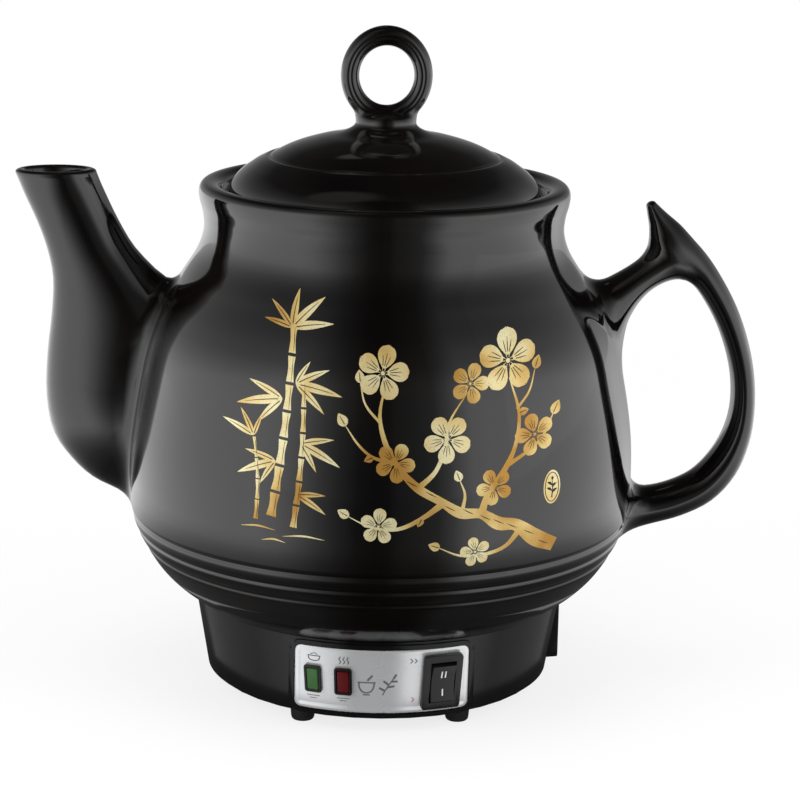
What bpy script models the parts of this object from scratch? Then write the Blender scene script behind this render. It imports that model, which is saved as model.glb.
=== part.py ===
"""Electric herbal medicine pot: a glazed stoneware pot fixed on a heated base, with a lift-off lid.

Metres, +Z up. The origin is on the pot's axis at table level. The spout points to -X, the
handle to +X and the control panel faces -Y. Heights on the pot are measured from its underside,
heights in the base from the table.
"""

import math

import bmesh
import bpy
from mathutils import Matrix, Vector

# Clearances
SEAT_GAP = 0.0003
OVERRUN = 0.0040
MERGE_DISTANCE = 0.00001
ROUND_STEPS = 40
SMALL_STEPS = 10

# Stoneware body, heights from the pot's underside
BODY_RADIUS = 0.1054
BELLY_RISE = 0.0565
FOOT_RADIUS = 0.0805
NECK_RADIUS = 0.0741
NECK_RISE = 0.1520
RIM_RADIUS = 0.0762
RIM_RISE = 0.1715
RIM_WIDTH = 0.0044
POT_WALL = 0.0060
POT_FLOOR = 0.0065
FOOT_RING_WIDTH = 0.0095
PLATE_RECESS = 0.0045
GROOVE_RISE = 0.0340
GROOVE_PITCH = 0.0062
GROOVE_DEPTH = 0.0011
GROOVE_WIDTH = 0.0020
GROOVE_COUNT = 3

# Share of the way from foot to belly: radius, height
LOWER_BOWL_SHARES = (
    (-0.050, 0.000), (0.030, 0.025), (0.293, 0.115), (0.534, 0.228), (0.743, 0.373),
    (0.904, 0.526), (0.980, 0.717), (1.000, 1.000),
)
# Share of the way from belly to neck: radius, height
SHOULDER_SHARES = (
    (0.032, 0.147), (0.134, 0.346), (0.272, 0.534), (0.450, 0.665), (0.706, 0.801),
    (0.927, 0.914), (1.000, 1.000),
)
# Share of the way from neck to rim: radius, height
LIP_SHARES = ((0.14, 0.256), (0.90, 0.667), (1.00, 0.820), (0.71, 0.930), (-0.05, 0.990))

# Mouth and the gallery that the lid rests on
MOUTH_RADIUS = 0.0605
GALLERY_WIDTH = 0.0060
GALLERY_DEPTH = 0.0055
GALLERY_THICKNESS = 0.0040
GALLERY_SLOPE = 0.0085
LIP_ROUND = 0.0020

# Spout
SPOUT_REACH = 0.1528
SPOUT_ROOT_RISE = 0.0385
SPOUT_TIP_RISE = 0.1745
SPOUT_DEPTH = 0.0420
SPOUT_WALL = 0.0045
SPOUT_SIDES = 16
# Outer edge, inner edge (each: share of the reach past the belly, share of the height), share of the depth
SPOUT_SHARES = (
    (1.000, 1.000, 0.260, 1.000, 0.595),
    (0.940, 0.966, 0.226, 0.966, 0.560),
    (0.878, 0.923, 0.176, 0.923, 0.540),
    (0.785, 0.850, 0.077, 0.850, 0.540),
    (0.700, 0.766, -0.067, 0.766, 0.590),
    (0.652, 0.674, -0.330, 0.670, 0.700),
    (0.665, 0.571, -0.545, 0.586, 0.840),
    (0.708, 0.440, -0.545, 0.476, 0.950),
    (0.722, 0.308, -0.500, 0.366, 1.000),
    (0.662, 0.194, -0.438, 0.278, 0.980),
    (0.517, 0.116, -0.373, 0.205, 0.880),
    (0.335, 0.055, -0.309, 0.154, 0.720),
    (0.109, 0.015, -0.245, 0.110, 0.500),
    (-0.116, -0.007, -0.202, 0.060, 0.300),
)
BORE_STATIONS = 12

# Strainer holes through the wall behind the spout
STRAINER_HOLE_RADIUS = 0.0033
STRAINER_PITCH = 0.0105
STRAINER_RISE = 0.0610
STRAINER_ROWS = (2, 3, 2, 3, 2)
STRAINER_SIDES = 8

# Handle
HANDLE_REACH = 0.1566
HANDLE_LOW_RISE = 0.0245
HANDLE_TOP_RISE = 0.1645
HANDLE_WIDTH = 0.0100
HANDLE_DEPTH = 0.0200
HANDLE_SIDES = 10
# Share of the reach past the belly, share of the height, width and depth as shares of the grip's own
HANDLE_ARC_SHARES = (
    (0.070, 1.000, 0.30, 0.36), (0.128, 0.958, 0.78, 0.52), (0.216, 0.908, 1.30, 0.68),
    (0.334, 0.861, 1.38, 0.82), (0.461, 0.817, 1.26, 0.90), (0.577, 0.766, 1.14, 0.95),
    (0.724, 0.676, 1.06, 0.98), (0.835, 0.573, 1.00, 1.00), (0.898, 0.472, 0.98, 1.00),
    (0.908, 0.372, 1.04, 1.00), (0.866, 0.285, 1.22, 1.02), (0.764, 0.203, 1.44, 1.05),
    (0.599, 0.136, 1.52, 1.10), (0.383, 0.095, 1.52, 1.16), (0.167, 0.074, 1.56, 1.25),
    (-0.027, 0.066, 1.85, 1.40), (-0.210, 0.065, 2.10, 1.55),
)
HANDLE_ARM_SHARES = (
    (-0.480, 0.605, 3.90, 1.70), (-0.311, 0.660, 2.80, 1.55), (-0.197, 0.700, 2.05, 1.35),
    (-0.093, 0.736, 1.58, 1.15), (0.021, 0.771, 1.34, 1.00), (0.153, 0.806, 1.40, 0.90),
    (0.280, 0.843, 1.50, 0.70),
)

# Lid, heights from its seat
LID_RADIUS = 0.0642
LID_DOME_RISE = 0.0257
LID_COLLAR_DEPTH = 0.0088
LID_COLLAR_WIDTH = 0.0040
LID_COLLAR_PLAY = 0.0020
KNOB_NECK_RADIUS = 0.0122
KNOB_NECK_RISE = 0.0332
# Share of the lid's radius, share of the dome's height
LID_DOME_SHARES = (
    (0.280, 1.000), (0.548, 0.844), (0.709, 0.654), (0.735, 0.612), (0.771, 0.594),
    (0.864, 0.467), (0.953, 0.288), (1.000, 0.090), (0.988, 0.000),
)
LID_INSIDE_SHARES = ((0.820, 0.160), (0.620, 0.480), (0.310, 0.720), (0.000, 0.760))

# Ring knob
KNOB_RING_RADIUS = 0.0187
KNOB_HOLE_RADIUS = 0.0112
KNOB_RING_DEPTH = 0.0100
KNOB_RING_RISE = 0.0487
KNOB_STRETCH = 1.08
KNOB_STEPS = 24

# Base skirt, heights from the table
FOOT_PAD_HEIGHT = 0.0060
SKIRT_HEIGHT = 0.0345
SKIRT_INSET = 0.0031
SKIRT_TAPER = 0.0056
SKIRT_WALL = 0.0026
SEAM_HEIGHT = 0.0010
SEAL_THICKNESS = 0.0019
SEAL_WIDTH = 0.0038
LEDGE_THICKNESS = 0.0020
SKIRT_RIM_WIDTH = 0.0018
SKIRT_EDGE_ROUND = 0.0016

# Screw bosses and screws
BOSS_RADIUS = 0.0040
BOSS_INSET = 0.0054
BOSS_RIB_WIDTH = 0.0030
BOSS_TOP = 0.0282
COVER_BOSS_TOP = 0.0200
SCREW_RADIUS = 0.0014
SCREW_LENGTH = 0.0080
SCREW_HEAD_RADIUS = 0.0028
SCREW_HEAD_HEIGHT = 0.0016
COVER_SCREW_AZIMUTHS = (-90.0, 30.0, 150.0)
BRIDGE_SCREW_AZIMUTHS = (-90.0, 90.0)
COVER_SINK = 0.0008

# Bottom cover and feet
COVER_THICKNESS = 0.0022
VENT_COUNT = 7
VENT_WIDTH = 0.0030
VENT_LENGTH = 0.0360
VENT_PITCH = 0.0075
FOOT_COUNT = 6
FOOT_CIRCLE_INSET = 0.0088
FOOT_PAD_RADIUS = 0.0052
FOOT_STEM_RADIUS = 0.0022
FOOT_HEAD_RADIUS = 0.0031
FOOT_HEAD_HEIGHT = 0.0014

# Heating plate and what hangs under it
PLATE_RADIUS = 0.0620
PLATE_THICKNESS = 0.0055
PLATE_BOSS_RADIUS = 0.0090
PLATE_BOSS_DROP = 0.0035
HEATER_RING_RADIUS = 0.0450
HEATER_TUBE_RADIUS = 0.0032
HEATER_GAP_ANGLE = 60.0
HEATER_LEG_DROP = 0.0095
HEATER_POINTS = 21
SHIELD_RADIUS = 0.0580
SHIELD_THICKNESS = 0.0010
BRIDGE_WIDTH = 0.0120
BRIDGE_THICKNESS = 0.0015
BRIDGE_PAD_LENGTH = 0.0240
THERMOSTAT_RADIUS = 0.0085
THERMOSTAT_HEIGHT = 0.0070
THERMOSTAT_PLACE = 0.0270
THERMOSTAT_TAB_LENGTH = 0.0090
THERMOSTAT_TAB_WIDTH = 0.0042
THERMOSTAT_TAB_THICKNESS = 0.0008
FUSE_RADIUS = 0.0016
FUSE_LENGTH = 0.0130
FUSE_PLACE = 0.0200

# Control plate
CONTROL_WIDTH = 0.0700
CONTROL_HEIGHT = 0.0280
CONTROL_CORNER = 0.0026
CONTROL_THICKNESS = 0.0008
CONTROL_AZIMUTH = -90.0
CONTROL_RISE = 0.0230
CONTROL_RIM_WIDTH = 0.0020
CONTROL_RIM_PROUD = 0.0007
CONTROL_RECESS = 0.0009

# Rocker switch, measured in the plane of the wall
SWITCH_OFFSET = 0.0235
BEZEL_WIDTH = 0.0162
BEZEL_HEIGHT = 0.0240
BEZEL_THICKNESS = 0.0022
BEZEL_CORNER = 0.0012
SWITCH_BODY_WIDTH = 0.0134
SWITCH_BODY_HEIGHT = 0.0210
SWITCH_BODY_DEPTH = 0.0140
WELL_WIDTH = 0.0108
WELL_HEIGHT = 0.0180
WELL_DEPTH = 0.0100
ROCKER_SIDE_PLAY = 0.0004
ROCKER_PIVOT_DEPTH = 0.0020
ROCKER_PROUD = 0.0015
ROCKER_BACK = 0.0050
PIVOT_PIN_RADIUS = 0.0012
PIVOT_PIN_LENGTH = 0.0008
PIVOT_PLAY = 0.0003
SWITCH_TAB_WIDTH = 0.0048
SWITCH_TAB_THICKNESS = 0.0008
SWITCH_TAB_LENGTH = 0.0080
SWITCH_TAB_PITCH = 0.0062
SWITCH_TAB_BED = 0.0025

# Indicator lamps
WARM_LAMP_OFFSET = -0.0273
HEAT_LAMP_OFFSET = -0.0154
LAMP_FRAME_WIDTH = 0.0072
LAMP_FRAME_HEIGHT = 0.0120
LAMP_FRAME_THICKNESS = 0.0010
LAMP_BODY_WIDTH = 0.0060
LAMP_BODY_HEIGHT = 0.0108
LAMP_BODY_DEPTH = 0.0080
LENS_WIDTH = 0.0046
LENS_HEIGHT = 0.0094
LENS_PROUD = 0.0004
LENS_DEPTH = 0.0038
NEON_RADIUS = 0.0015
NEON_LENGTH = 0.0070
BOARD_WIDTH = 0.0240
BOARD_HEIGHT = 0.0150
BOARD_THICKNESS = 0.0012
BOARD_STANDOFF = 0.0003
BOARD_POST_RADIUS = 0.0012
BOARD_POST_PLACE = 0.0108

# Power inlet
INLET_AZIMUTH = 13.0
INLET_REACH = 0.0770
INLET_BOX_WIDTH = 0.0280
INLET_BOX_DEPTH = 0.0105
INLET_BOX_HEIGHT = 0.0285
INLET_SOCKET_WIDTH = 0.0230
INLET_SOCKET_HEIGHT = 0.0180
INLET_SOCKET_DEPTH = 0.0170
INLET_SOCKET_RISE = 0.0215
INLET_WALL = 0.0018
INLET_BACK = 0.0025
INLET_CORNER = 0.0030
PIN_WIDTH = 0.0040
PIN_THICKNESS = 0.0020
PIN_FRONT = 0.0110
PIN_TAIL = 0.0060
PIN_PITCH = 0.0070
PIN_EARTH_LIFT = 0.0040

# Terminal block on the bottom cover
BLOCK_LENGTH = 0.0240
BLOCK_WIDTH = 0.0130
BLOCK_HEIGHT = 0.0110
BLOCK_PLACE = 0.0290
BLOCK_SHIFT = 0.0160
BLOCK_SCREW_RADIUS = 0.0020
BLOCK_WAYS = 3

# Heights and radii that follow
SKIRT_BOTTOM = FOOT_PAD_HEIGHT
SKIRT_TOP = SKIRT_BOTTOM + SKIRT_HEIGHT
POT_UNDERSIDE = SKIRT_TOP + SEAM_HEIGHT
SKIRT_TOP_RADIUS = FOOT_RADIUS - SKIRT_INSET
SKIRT_FOOT_RADIUS = SKIRT_TOP_RADIUS - SKIRT_TAPER
SKIRT_LEAN = math.atan2(SKIRT_TAPER, SKIRT_HEIGHT)
GALLERY_RISE = RIM_RISE - GALLERY_DEPTH
LID_SEAT = POT_UNDERSIDE + GALLERY_RISE + SEAT_GAP
RECESS_RADIUS = FOOT_RADIUS - FOOT_RING_WIDTH
RECESS_ROOF = POT_UNDERSIDE + PLATE_RECESS
PLATE_UNDERSIDE = RECESS_ROOF - SEAT_GAP - PLATE_THICKNESS
PLATE_BOSS_FACE = PLATE_UNDERSIDE - PLATE_BOSS_DROP
SHIELD_TOP = PLATE_BOSS_FACE - SEAT_GAP
SHIELD_UNDERSIDE = SHIELD_TOP - SHIELD_THICKNESS
COVER_TOP = SKIRT_BOTTOM + COVER_THICKNESS
COVER_RADIUS = SKIRT_FOOT_RADIUS - SKIRT_WALL - SEAT_GAP
BOSS_CIRCLE = COVER_RADIUS - BOSS_INSET
LEDGE_TOP = SKIRT_TOP + SEAM_HEIGHT - SEAL_THICKNESS - 2 * SEAT_GAP
SEAL_RADIUS = SKIRT_TOP_RADIUS - SKIRT_RIM_WIDTH - SEAT_GAP
CONTROL_FACE = CONTROL_THICKNESS + SEAT_GAP - CONTROL_RECESS
FLANGE_BACK = -CONTROL_FACE - SEAT_GAP
SWITCH_FRONT = FLANGE_BACK - BEZEL_THICKNESS
ROCKER_AXIS = SWITCH_FRONT + ROCKER_PIVOT_DEPTH
SCREW_HEAD_TOP = SKIRT_BOTTOM + COVER_SINK - SEAT_GAP
LAMP_SPLAY = (HEAT_LAMP_OFFSET - WARM_LAMP_OFFSET) / 2 / SKIRT_TOP_RADIUS
LAMP_SPREAD = LAMP_BODY_WIDTH + HEAT_LAMP_OFFSET - WARM_LAMP_OFFSET
BOARD_FRONT = LAMP_BODY_DEPTH + BOARD_STANDOFF + LAMP_SPLAY * LAMP_SPREAD / 2
BRIDGE_LOW = BOSS_TOP + SEAT_GAP
BRIDGE_HIGH = SHIELD_UNDERSIDE - SEAT_GAP - BRIDGE_THICKNESS
FOOT_CIRCLE = SKIRT_FOOT_RADIUS - FOOT_CIRCLE_INSET


def interpolate(points, height):
    """Radius of an outline, given bottom to top, at a height."""
    for (low_radius, low), (high_radius, high) in zip(points, points[1:]):
        if low <= height <= high and high > low:
            share = (height - low) / (high - low)
            return low_radius + share * (high_radius - low_radius)
    return points[-1][0]


def skirt_radius(height):
    """Outer radius of the skirt's cone at a height above the table."""
    return SKIRT_FOOT_RADIUS + SKIRT_TAPER * (height - SKIRT_BOTTOM) / SKIRT_HEIGHT


def on_circle(radius, azimuth, height):
    """A point at an azimuth in degrees, counted from +X towards +Y."""
    angle = math.radians(azimuth)
    return Vector((radius * math.cos(angle), radius * math.sin(angle), height))


def clear_objects():
    """Remove what the scene holds."""
    for item in list(bpy.data.objects):
        bpy.data.objects.remove(item, do_unlink=True)


def new_collection(name):
    """A collection linked to the scene."""
    group = bpy.data.collections.new(name)
    bpy.context.scene.collection.children.link(group)
    return group


clear_objects()
POT = new_collection("herbal_medicine_pot")
CUTTERS = new_collection("cutters")


def finish(name, colour, roughness, metallic=0.0):
    """A Principled material with a plain colour."""
    material = bpy.data.materials.new(name)
    material.use_nodes = True
    shader = material.node_tree.nodes["Principled BSDF"]
    shader.inputs["Base Color"].default_value = (*colour, 1.0)
    shader.inputs["Roughness"].default_value = roughness
    shader.inputs["Metallic"].default_value = metallic
    return material


def add_part(name, mesh, material, parent=None):
    """An object of the pot, with its own material."""
    item = bpy.data.objects.new(name, mesh)
    item.data.materials.append(material)
    POT.objects.link(item)
    item.parent = parent
    return item


def add_cutter(name, mesh, parent=None):
    """A guide that cuts or joins another object and isn't a piece itself."""
    item = bpy.data.objects.new(name, mesh)
    CUTTERS.objects.link(item)
    item.parent = parent
    item.hide_render = True
    item.display_type = "WIRE"
    return item


def combine(target, tool, operation):
    """Add an exact Boolean modifier: UNION, DIFFERENCE or INTERSECT."""
    modifier = target.modifiers.new(f"{operation.lower()} {tool.name}", "BOOLEAN")
    modifier.operation = operation
    modifier.solver = "EXACT"
    modifier.object = tool
    return modifier


def mesh_from(name, builder):
    """A mesh from a bmesh that builder fills."""
    shape = bmesh.new()
    builder(shape)
    bmesh.ops.recalc_face_normals(shape, faces=shape.faces)
    mesh = bpy.data.meshes.new(name)
    shape.to_mesh(mesh)
    shape.free()
    return mesh


def block_mesh(name, size, centre=(0.0, 0.0, 0.0), corner=0.0, segments=1, along=None):
    """A box, its edges rounded by corner: all of them, or only those that run along one axis."""

    def fill(shape):
        matrix = Matrix.Translation(centre) @ Matrix.Diagonal((*size, 1.0))
        bmesh.ops.create_cube(shape, size=1.0, matrix=matrix)
        if corner > 0.0:
            edges = [
                edge for edge in shape.edges
                if along is None or abs((edge.verts[0].co - edge.verts[1].co).normalized()[along]) > 0.9
            ]
            bmesh.ops.bevel(shape, geom=edges, offset=corner, offset_type="OFFSET", segments=segments,
                            profile=0.5, affect="EDGES")

    return mesh_from(name, fill)


def rod_mesh(name, radius, start, end, sides=SMALL_STEPS, end_radius=None):
    """A cylinder or cone between two points."""
    start, end = Vector(start), Vector(end)
    axis = end - start

    def fill(shape):
        matrix = Matrix.Translation((start + end) / 2) @ axis.to_track_quat("Z", "Y").to_matrix().to_4x4()
        bmesh.ops.create_cone(shape, cap_ends=True, segments=sides, radius1=radius,
                              radius2=radius if end_radius is None else end_radius,
                              depth=axis.length, matrix=matrix)

    return mesh_from(name, fill)


def several(name, meshes):
    """One mesh that holds several separate ones, for a cutter."""

    def fill(shape):
        for mesh in meshes:
            shape.from_mesh(mesh)

    return mesh_from(name, fill)


def profile_mesh(name, points, closed=False):
    """A polyline of (radius, height) points in the XZ plane."""
    mesh = bpy.data.meshes.new(name)
    edges = [(index, index + 1) for index in range(len(points) - 1)]
    if closed:
        edges.append((len(points) - 1, 0))
    mesh.from_pydata([(radius, 0.0, height) for radius, height in points], edges, [])
    return mesh


def turn(item, steps=ROUND_STEPS):
    """Turn an object's profile round its own Z axis."""
    modifier = item.modifiers.new("turn", "SCREW")
    modifier.angle = math.tau
    modifier.steps = steps
    modifier.render_steps = steps
    modifier.use_merge_vertices = True
    modifier.merge_threshold = MERGE_DISTANCE
    modifier.use_smooth_shade = True
    return item


def loft_mesh(name, rings):
    """Skin a row of closed rings with the same number of points, and cap both ends."""
    sides = len(rings[0])

    def fill(shape):
        rows = [[shape.verts.new(point) for point in ring] for ring in rings]
        for row, following in zip(rows, rows[1:]):
            for index in range(sides):
                after = (index + 1) % sides
                shape.faces.new((row[index], row[after], following[after], following[index]))
        shape.faces.new(list(reversed(rows[0])))
        shape.faces.new(rows[-1])

    return mesh_from(name, fill)


def oval_ring(centre, half_across, half_depth, sides):
    """A ring round a centre in the XZ plane: half_across is a vector, half_depth goes along Y."""
    ring = []
    for index in range(sides):
        angle = math.tau * index / sides
        sideways = Vector((0.0, half_depth * math.sin(angle), 0.0))
        ring.append(centre + half_across * math.cos(angle) + sideways)
    return ring


def welded_mesh(curve):
    """A curve as a closed mesh, for use in a Boolean."""
    item = bpy.data.objects.new(curve.name, curve)
    CUTTERS.objects.link(item)
    bpy.context.view_layer.update()
    evaluated = item.evaluated_get(bpy.context.evaluated_depsgraph_get())
    mesh = bpy.data.meshes.new_from_object(evaluated)
    bpy.data.objects.remove(item, do_unlink=True)
    shape = bmesh.new()
    shape.from_mesh(mesh)
    bmesh.ops.remove_doubles(shape, verts=shape.verts, dist=MERGE_DISTANCE)
    bmesh.ops.recalc_face_normals(shape, faces=shape.faces)
    shape.to_mesh(mesh)
    shape.free()
    return mesh


def tube_curve(name, points, radius, resolution=2):
    """A curve with a round section and closed ends."""
    curve = bpy.data.curves.new(name, "CURVE")
    curve.dimensions = "3D"
    curve.bevel_depth = radius
    curve.bevel_resolution = resolution
    curve.use_fill_caps = True
    spline = curve.splines.new("POLY")
    spline.points.add(len(points) - 1)
    for target, point in zip(spline.points, points):
        target.co = (*point, 1.0)
    return curve


def wall_frame(name, azimuth, radius, height, lean):
    """An empty on an outer wall: X runs right along the wall, Y inwards and Z up the wall."""
    level = on_circle(1.0, azimuth, 0.0)
    outward = level * math.cos(lean) - Vector((0.0, 0.0, math.sin(lean)))
    upward = level * math.sin(lean) + Vector((0.0, 0.0, math.cos(lean)))
    rotation = Matrix((upward.cross(outward), -outward, upward)).transposed()
    empty = bpy.data.objects.new(name, None)
    POT.objects.link(empty)
    empty.matrix_world = Matrix.Translation(on_circle(radius, azimuth, height)) @ rotation.to_4x4()
    return empty


def control_frame(name, offset):
    """An empty on the skirt's cone in front, at a distance to the right of the control plate's middle."""
    radius = skirt_radius(CONTROL_RISE)
    azimuth = CONTROL_AZIMUTH + math.degrees(math.asin(offset / radius))
    return wall_frame(name, azimuth, radius, CONTROL_RISE, SKIRT_LEAN)


def outline_mesh(name, points, width):
    """A flat outline of (across, up) points in the YZ plane, as thick as width along X."""
    curve = bpy.data.curves.new(name, "CURVE")
    curve.dimensions = "2D"
    curve.fill_mode = "BOTH"
    curve.extrude = width / 2
    spline = curve.splines.new("POLY")
    spline.points.add(len(points) - 1)
    for target, (across, up) in zip(spline.points, points):
        target.co = (across, up, 0.0, 1.0)
    spline.use_cyclic_u = True
    mesh = welded_mesh(curve)
    mesh.transform(Matrix(((0.0, 0.0, 1.0, 0.0), (1.0, 0.0, 0.0, 0.0), (0.0, 1.0, 0.0, 0.0), (0.0, 0.0, 0.0, 1.0))))
    return mesh


# Finishes
GLAZE = finish("black glaze", (0.012, 0.011, 0.010), 0.08)
PLASTIC = finish("black plastic", (0.030, 0.030, 0.032), 0.32)
SWITCH_PLASTIC = finish("switch plastic", (0.015, 0.015, 0.016), 0.30)
SILICONE = finish("grey silicone", (0.20, 0.20, 0.20), 0.60)
RUBBER = finish("black rubber", (0.010, 0.010, 0.010), 0.70)
BRUSHED = finish("brushed aluminium", (0.62, 0.62, 0.63), 0.28, 1.0)
CAST = finish("cast aluminium", (0.55, 0.55, 0.56), 0.45, 1.0)
STEEL = finish("bright steel", (0.60, 0.60, 0.60), 0.30, 1.0)
BRASS = finish("plated brass", (0.70, 0.62, 0.42), 0.30, 1.0)
GREEN = finish("green lens", (0.06, 0.13, 0.05), 0.15)
RED = finish("red lens", (0.20, 0.004, 0.006), 0.15)
NEON_GLASS = finish("neon glass", (0.80, 0.70, 0.60), 0.05)
BOARD = finish("circuit board", (0.35, 0.22, 0.08), 0.60)
BAKELITE = finish("brown phenolic", (0.10, 0.05, 0.03), 0.45)


# The pot's outline, bottom to top
def pot_height(rise):
    """Height above the table of a height above the pot's underside."""
    return POT_UNDERSIDE + rise


def bowl_outline():
    """Foot, bowl, shoulder and neck as (radius, height), bottom to top."""
    points = []
    for radius_share, height_share in LOWER_BOWL_SHARES:
        radius = FOOT_RADIUS + radius_share * (BODY_RADIUS - FOOT_RADIUS)
        points.append((radius, pot_height(height_share * BELLY_RISE)))
    for radius_share, height_share in SHOULDER_SHARES:
        radius = BODY_RADIUS + radius_share * (NECK_RADIUS - BODY_RADIUS)
        points.append((radius, pot_height(BELLY_RISE + height_share * (NECK_RISE - BELLY_RISE))))
    return points


def lip_outline():
    """The lip, from the neck to the crest of the rim."""
    points = []
    for radius_share, height_share in LIP_SHARES:
        radius = NECK_RADIUS + radius_share * (RIM_RADIUS - NECK_RADIUS)
        points.append((radius, pot_height(NECK_RISE + height_share * (RIM_RISE - NECK_RISE))))
    points.append((RIM_RADIUS - RIM_WIDTH, pot_height(RIM_RISE)))
    return points


def with_grooves(points):
    """Cut the ring grooves into the outline of the lower bowl."""
    grooved = list(points)
    for number in range(GROOVE_COUNT):
        height = pot_height(GROOVE_RISE - number * GROOVE_PITCH)
        low, high = height - GROOVE_WIDTH / 2, height + GROOVE_WIDTH / 2
        notch = [
            (interpolate(points, low), low),
            (interpolate(points, height) - GROOVE_DEPTH, height),
            (interpolate(points, high), high),
        ]
        kept_low = [point for point in grooved if point[1] < low]
        kept_high = [point for point in grooved if point[1] > high]
        grooved = kept_low + notch + kept_high
    return grooved


def inset_outline(points, distance):
    """Move an outline, given bottom to top, inwards by a distance at right angles to itself."""
    moved = []
    for index, (radius, height) in enumerate(points):
        before = points[max(index - 1, 0)]
        after = points[min(index + 1, len(points) - 1)]
        along = Vector((after[0] - before[0], after[1] - before[1])).normalized()
        moved.append((radius - along.y * distance, height + along.x * distance))
    return moved


def pot_solid_profile():
    """The pot without its hollow, top to bottom: rim, bowl, foot ring and the recess for the plate."""
    outside = with_grooves(bowl_outline()) + lip_outline()
    top = [(0.0, pot_height(RIM_RISE))]
    underside = [(RECESS_RADIUS, POT_UNDERSIDE), (RECESS_RADIUS, RECESS_ROOF), (0.0, RECESS_ROOF)]
    return top + list(reversed(outside)) + underside


def pot_hollow_profile():
    """The hollow, top to bottom: mouth, gallery, neck and the inner wall down to the floor."""
    top = pot_height(RIM_RISE)
    gallery = pot_height(GALLERY_RISE)
    gallery_radius = MOUTH_RADIUS + GALLERY_WIDTH
    under = gallery - GALLERY_THICKNESS
    floor = RECESS_ROOF + POT_FLOOR
    inner = [
        point for point in inset_outline(bowl_outline(), POT_WALL)
        if floor + POT_WALL / 2 < point[1] < under - GALLERY_SLOPE
    ]
    floor_radius = interpolate(inner, inner[0][1])
    return [
        (0.0, top + OVERRUN),
        (gallery_radius + LIP_ROUND, top + OVERRUN),
        (gallery_radius + LIP_ROUND, top),
        (gallery_radius + LIP_ROUND / 4, top - LIP_ROUND / 4),
        (gallery_radius, top - LIP_ROUND),
        (gallery_radius, gallery),
        (MOUTH_RADIUS, gallery),
        (MOUTH_RADIUS, under),
        *reversed(inner),
        (floor_radius - POT_WALL / 3, floor + POT_WALL / 6),
        (floor_radius - POT_WALL, floor),
        (0.0, floor),
    ]


def spout_edges():
    """Outer edge, inner edge and half depth of each section of the spout, mouth first."""
    span = SPOUT_REACH - BODY_RADIUS
    rise = SPOUT_TIP_RISE - SPOUT_ROOT_RISE
    edges = []
    for outer_share, outer_height, inner_share, inner_height, depth_share in SPOUT_SHARES:
        outer_top = pot_height(SPOUT_ROOT_RISE + outer_height * rise)
        inner_top = pot_height(SPOUT_ROOT_RISE + inner_height * rise)
        outer = Vector((-BODY_RADIUS - outer_share * span, 0.0, outer_top))
        inner = Vector((-BODY_RADIUS - inner_share * span, 0.0, inner_top))
        edges.append((outer, inner, SPOUT_DEPTH / 2 * depth_share))
    return edges


def spout_rings(wall):
    """The spout's sections, drawn in by a wall."""
    rings = []
    for outer, inner, half_depth in spout_edges():
        half_across = (outer - inner) / 2
        half_across = half_across.normalized() * (half_across.length - wall)
        rings.append(oval_ring((outer + inner) / 2, half_across, half_depth - wall, SPOUT_SIDES))
    return rings


def spout_bore_mesh():
    """The bore, from above the mouth down to the root."""
    rings = spout_rings(SPOUT_WALL)[:BORE_STATIONS]
    step = rings[0][0] - rings[1][0]
    lift = step * (OVERRUN / step.z)
    return loft_mesh("spout bore", [[point + lift for point in rings[0]]] + rings)


def strainer_mesh():
    """Round holes through the pot's wall behind the spout, in staggered rows."""
    holes = []
    for row, count in enumerate(STRAINER_ROWS):
        height = pot_height(STRAINER_RISE + row * STRAINER_PITCH)
        wall = interpolate(bowl_outline(), height)
        for column in range(count):
            across = (column - (count - 1) / 2) * STRAINER_PITCH
            start = (-wall - POT_WALL, across, height)
            end = (-wall + POT_WALL * 3, across, height)
            holes.append(rod_mesh("strainer hole", STRAINER_HOLE_RADIUS, start, end, STRAINER_SIDES))
    return several("strainer holes", holes)


def handle_rings(shares):
    """Sections of a strip of the handle, each square to the strip's middle line."""
    span = HANDLE_REACH - BODY_RADIUS
    rise = HANDLE_TOP_RISE - HANDLE_LOW_RISE
    middle = []
    for reach_share, height_share, _, _ in shares:
        height = pot_height(HANDLE_LOW_RISE + height_share * rise)
        middle.append(Vector((BODY_RADIUS + reach_share * span, 0.0, height)))
    rings = []
    for index, (_, _, width_share, depth_share) in enumerate(shares):
        along = (middle[min(index + 1, len(middle) - 1)] - middle[max(index - 1, 0)]).normalized()
        across = Vector((along.z, 0.0, -along.x)) * (HANDLE_WIDTH / 2 * width_share)
        rings.append(oval_ring(middle[index], across, HANDLE_DEPTH / 2 * depth_share, HANDLE_SIDES))
    return rings


def make_pot():
    """The fired piece: bowl, spout and handle in one, hollow, with the strainer."""
    pot = turn(add_part("ceramic_pot", profile_mesh("ceramic_pot", pot_solid_profile()), GLAZE))
    combine(pot, add_cutter("spout skin", loft_mesh("spout skin", spout_rings(0.0))), "UNION")
    for name, shares in (("handle grip", HANDLE_ARC_SHARES), ("handle arm", HANDLE_ARM_SHARES)):
        combine(pot, add_cutter(name, loft_mesh(name, handle_rings(shares))), "UNION")
    hollow = turn(add_cutter("pot hollow", profile_mesh("pot hollow", pot_hollow_profile())))
    combine(pot, hollow, "DIFFERENCE")
    envelope = turn(add_cutter("pot envelope", profile_mesh("pot envelope", pot_solid_profile())))
    bore = add_cutter("spout bore", spout_bore_mesh())
    combine(bore, envelope, "DIFFERENCE")
    combine(pot, bore, "DIFFERENCE")
    combine(pot, add_cutter("strainer holes", strainer_mesh()), "DIFFERENCE")
    return pot


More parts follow.
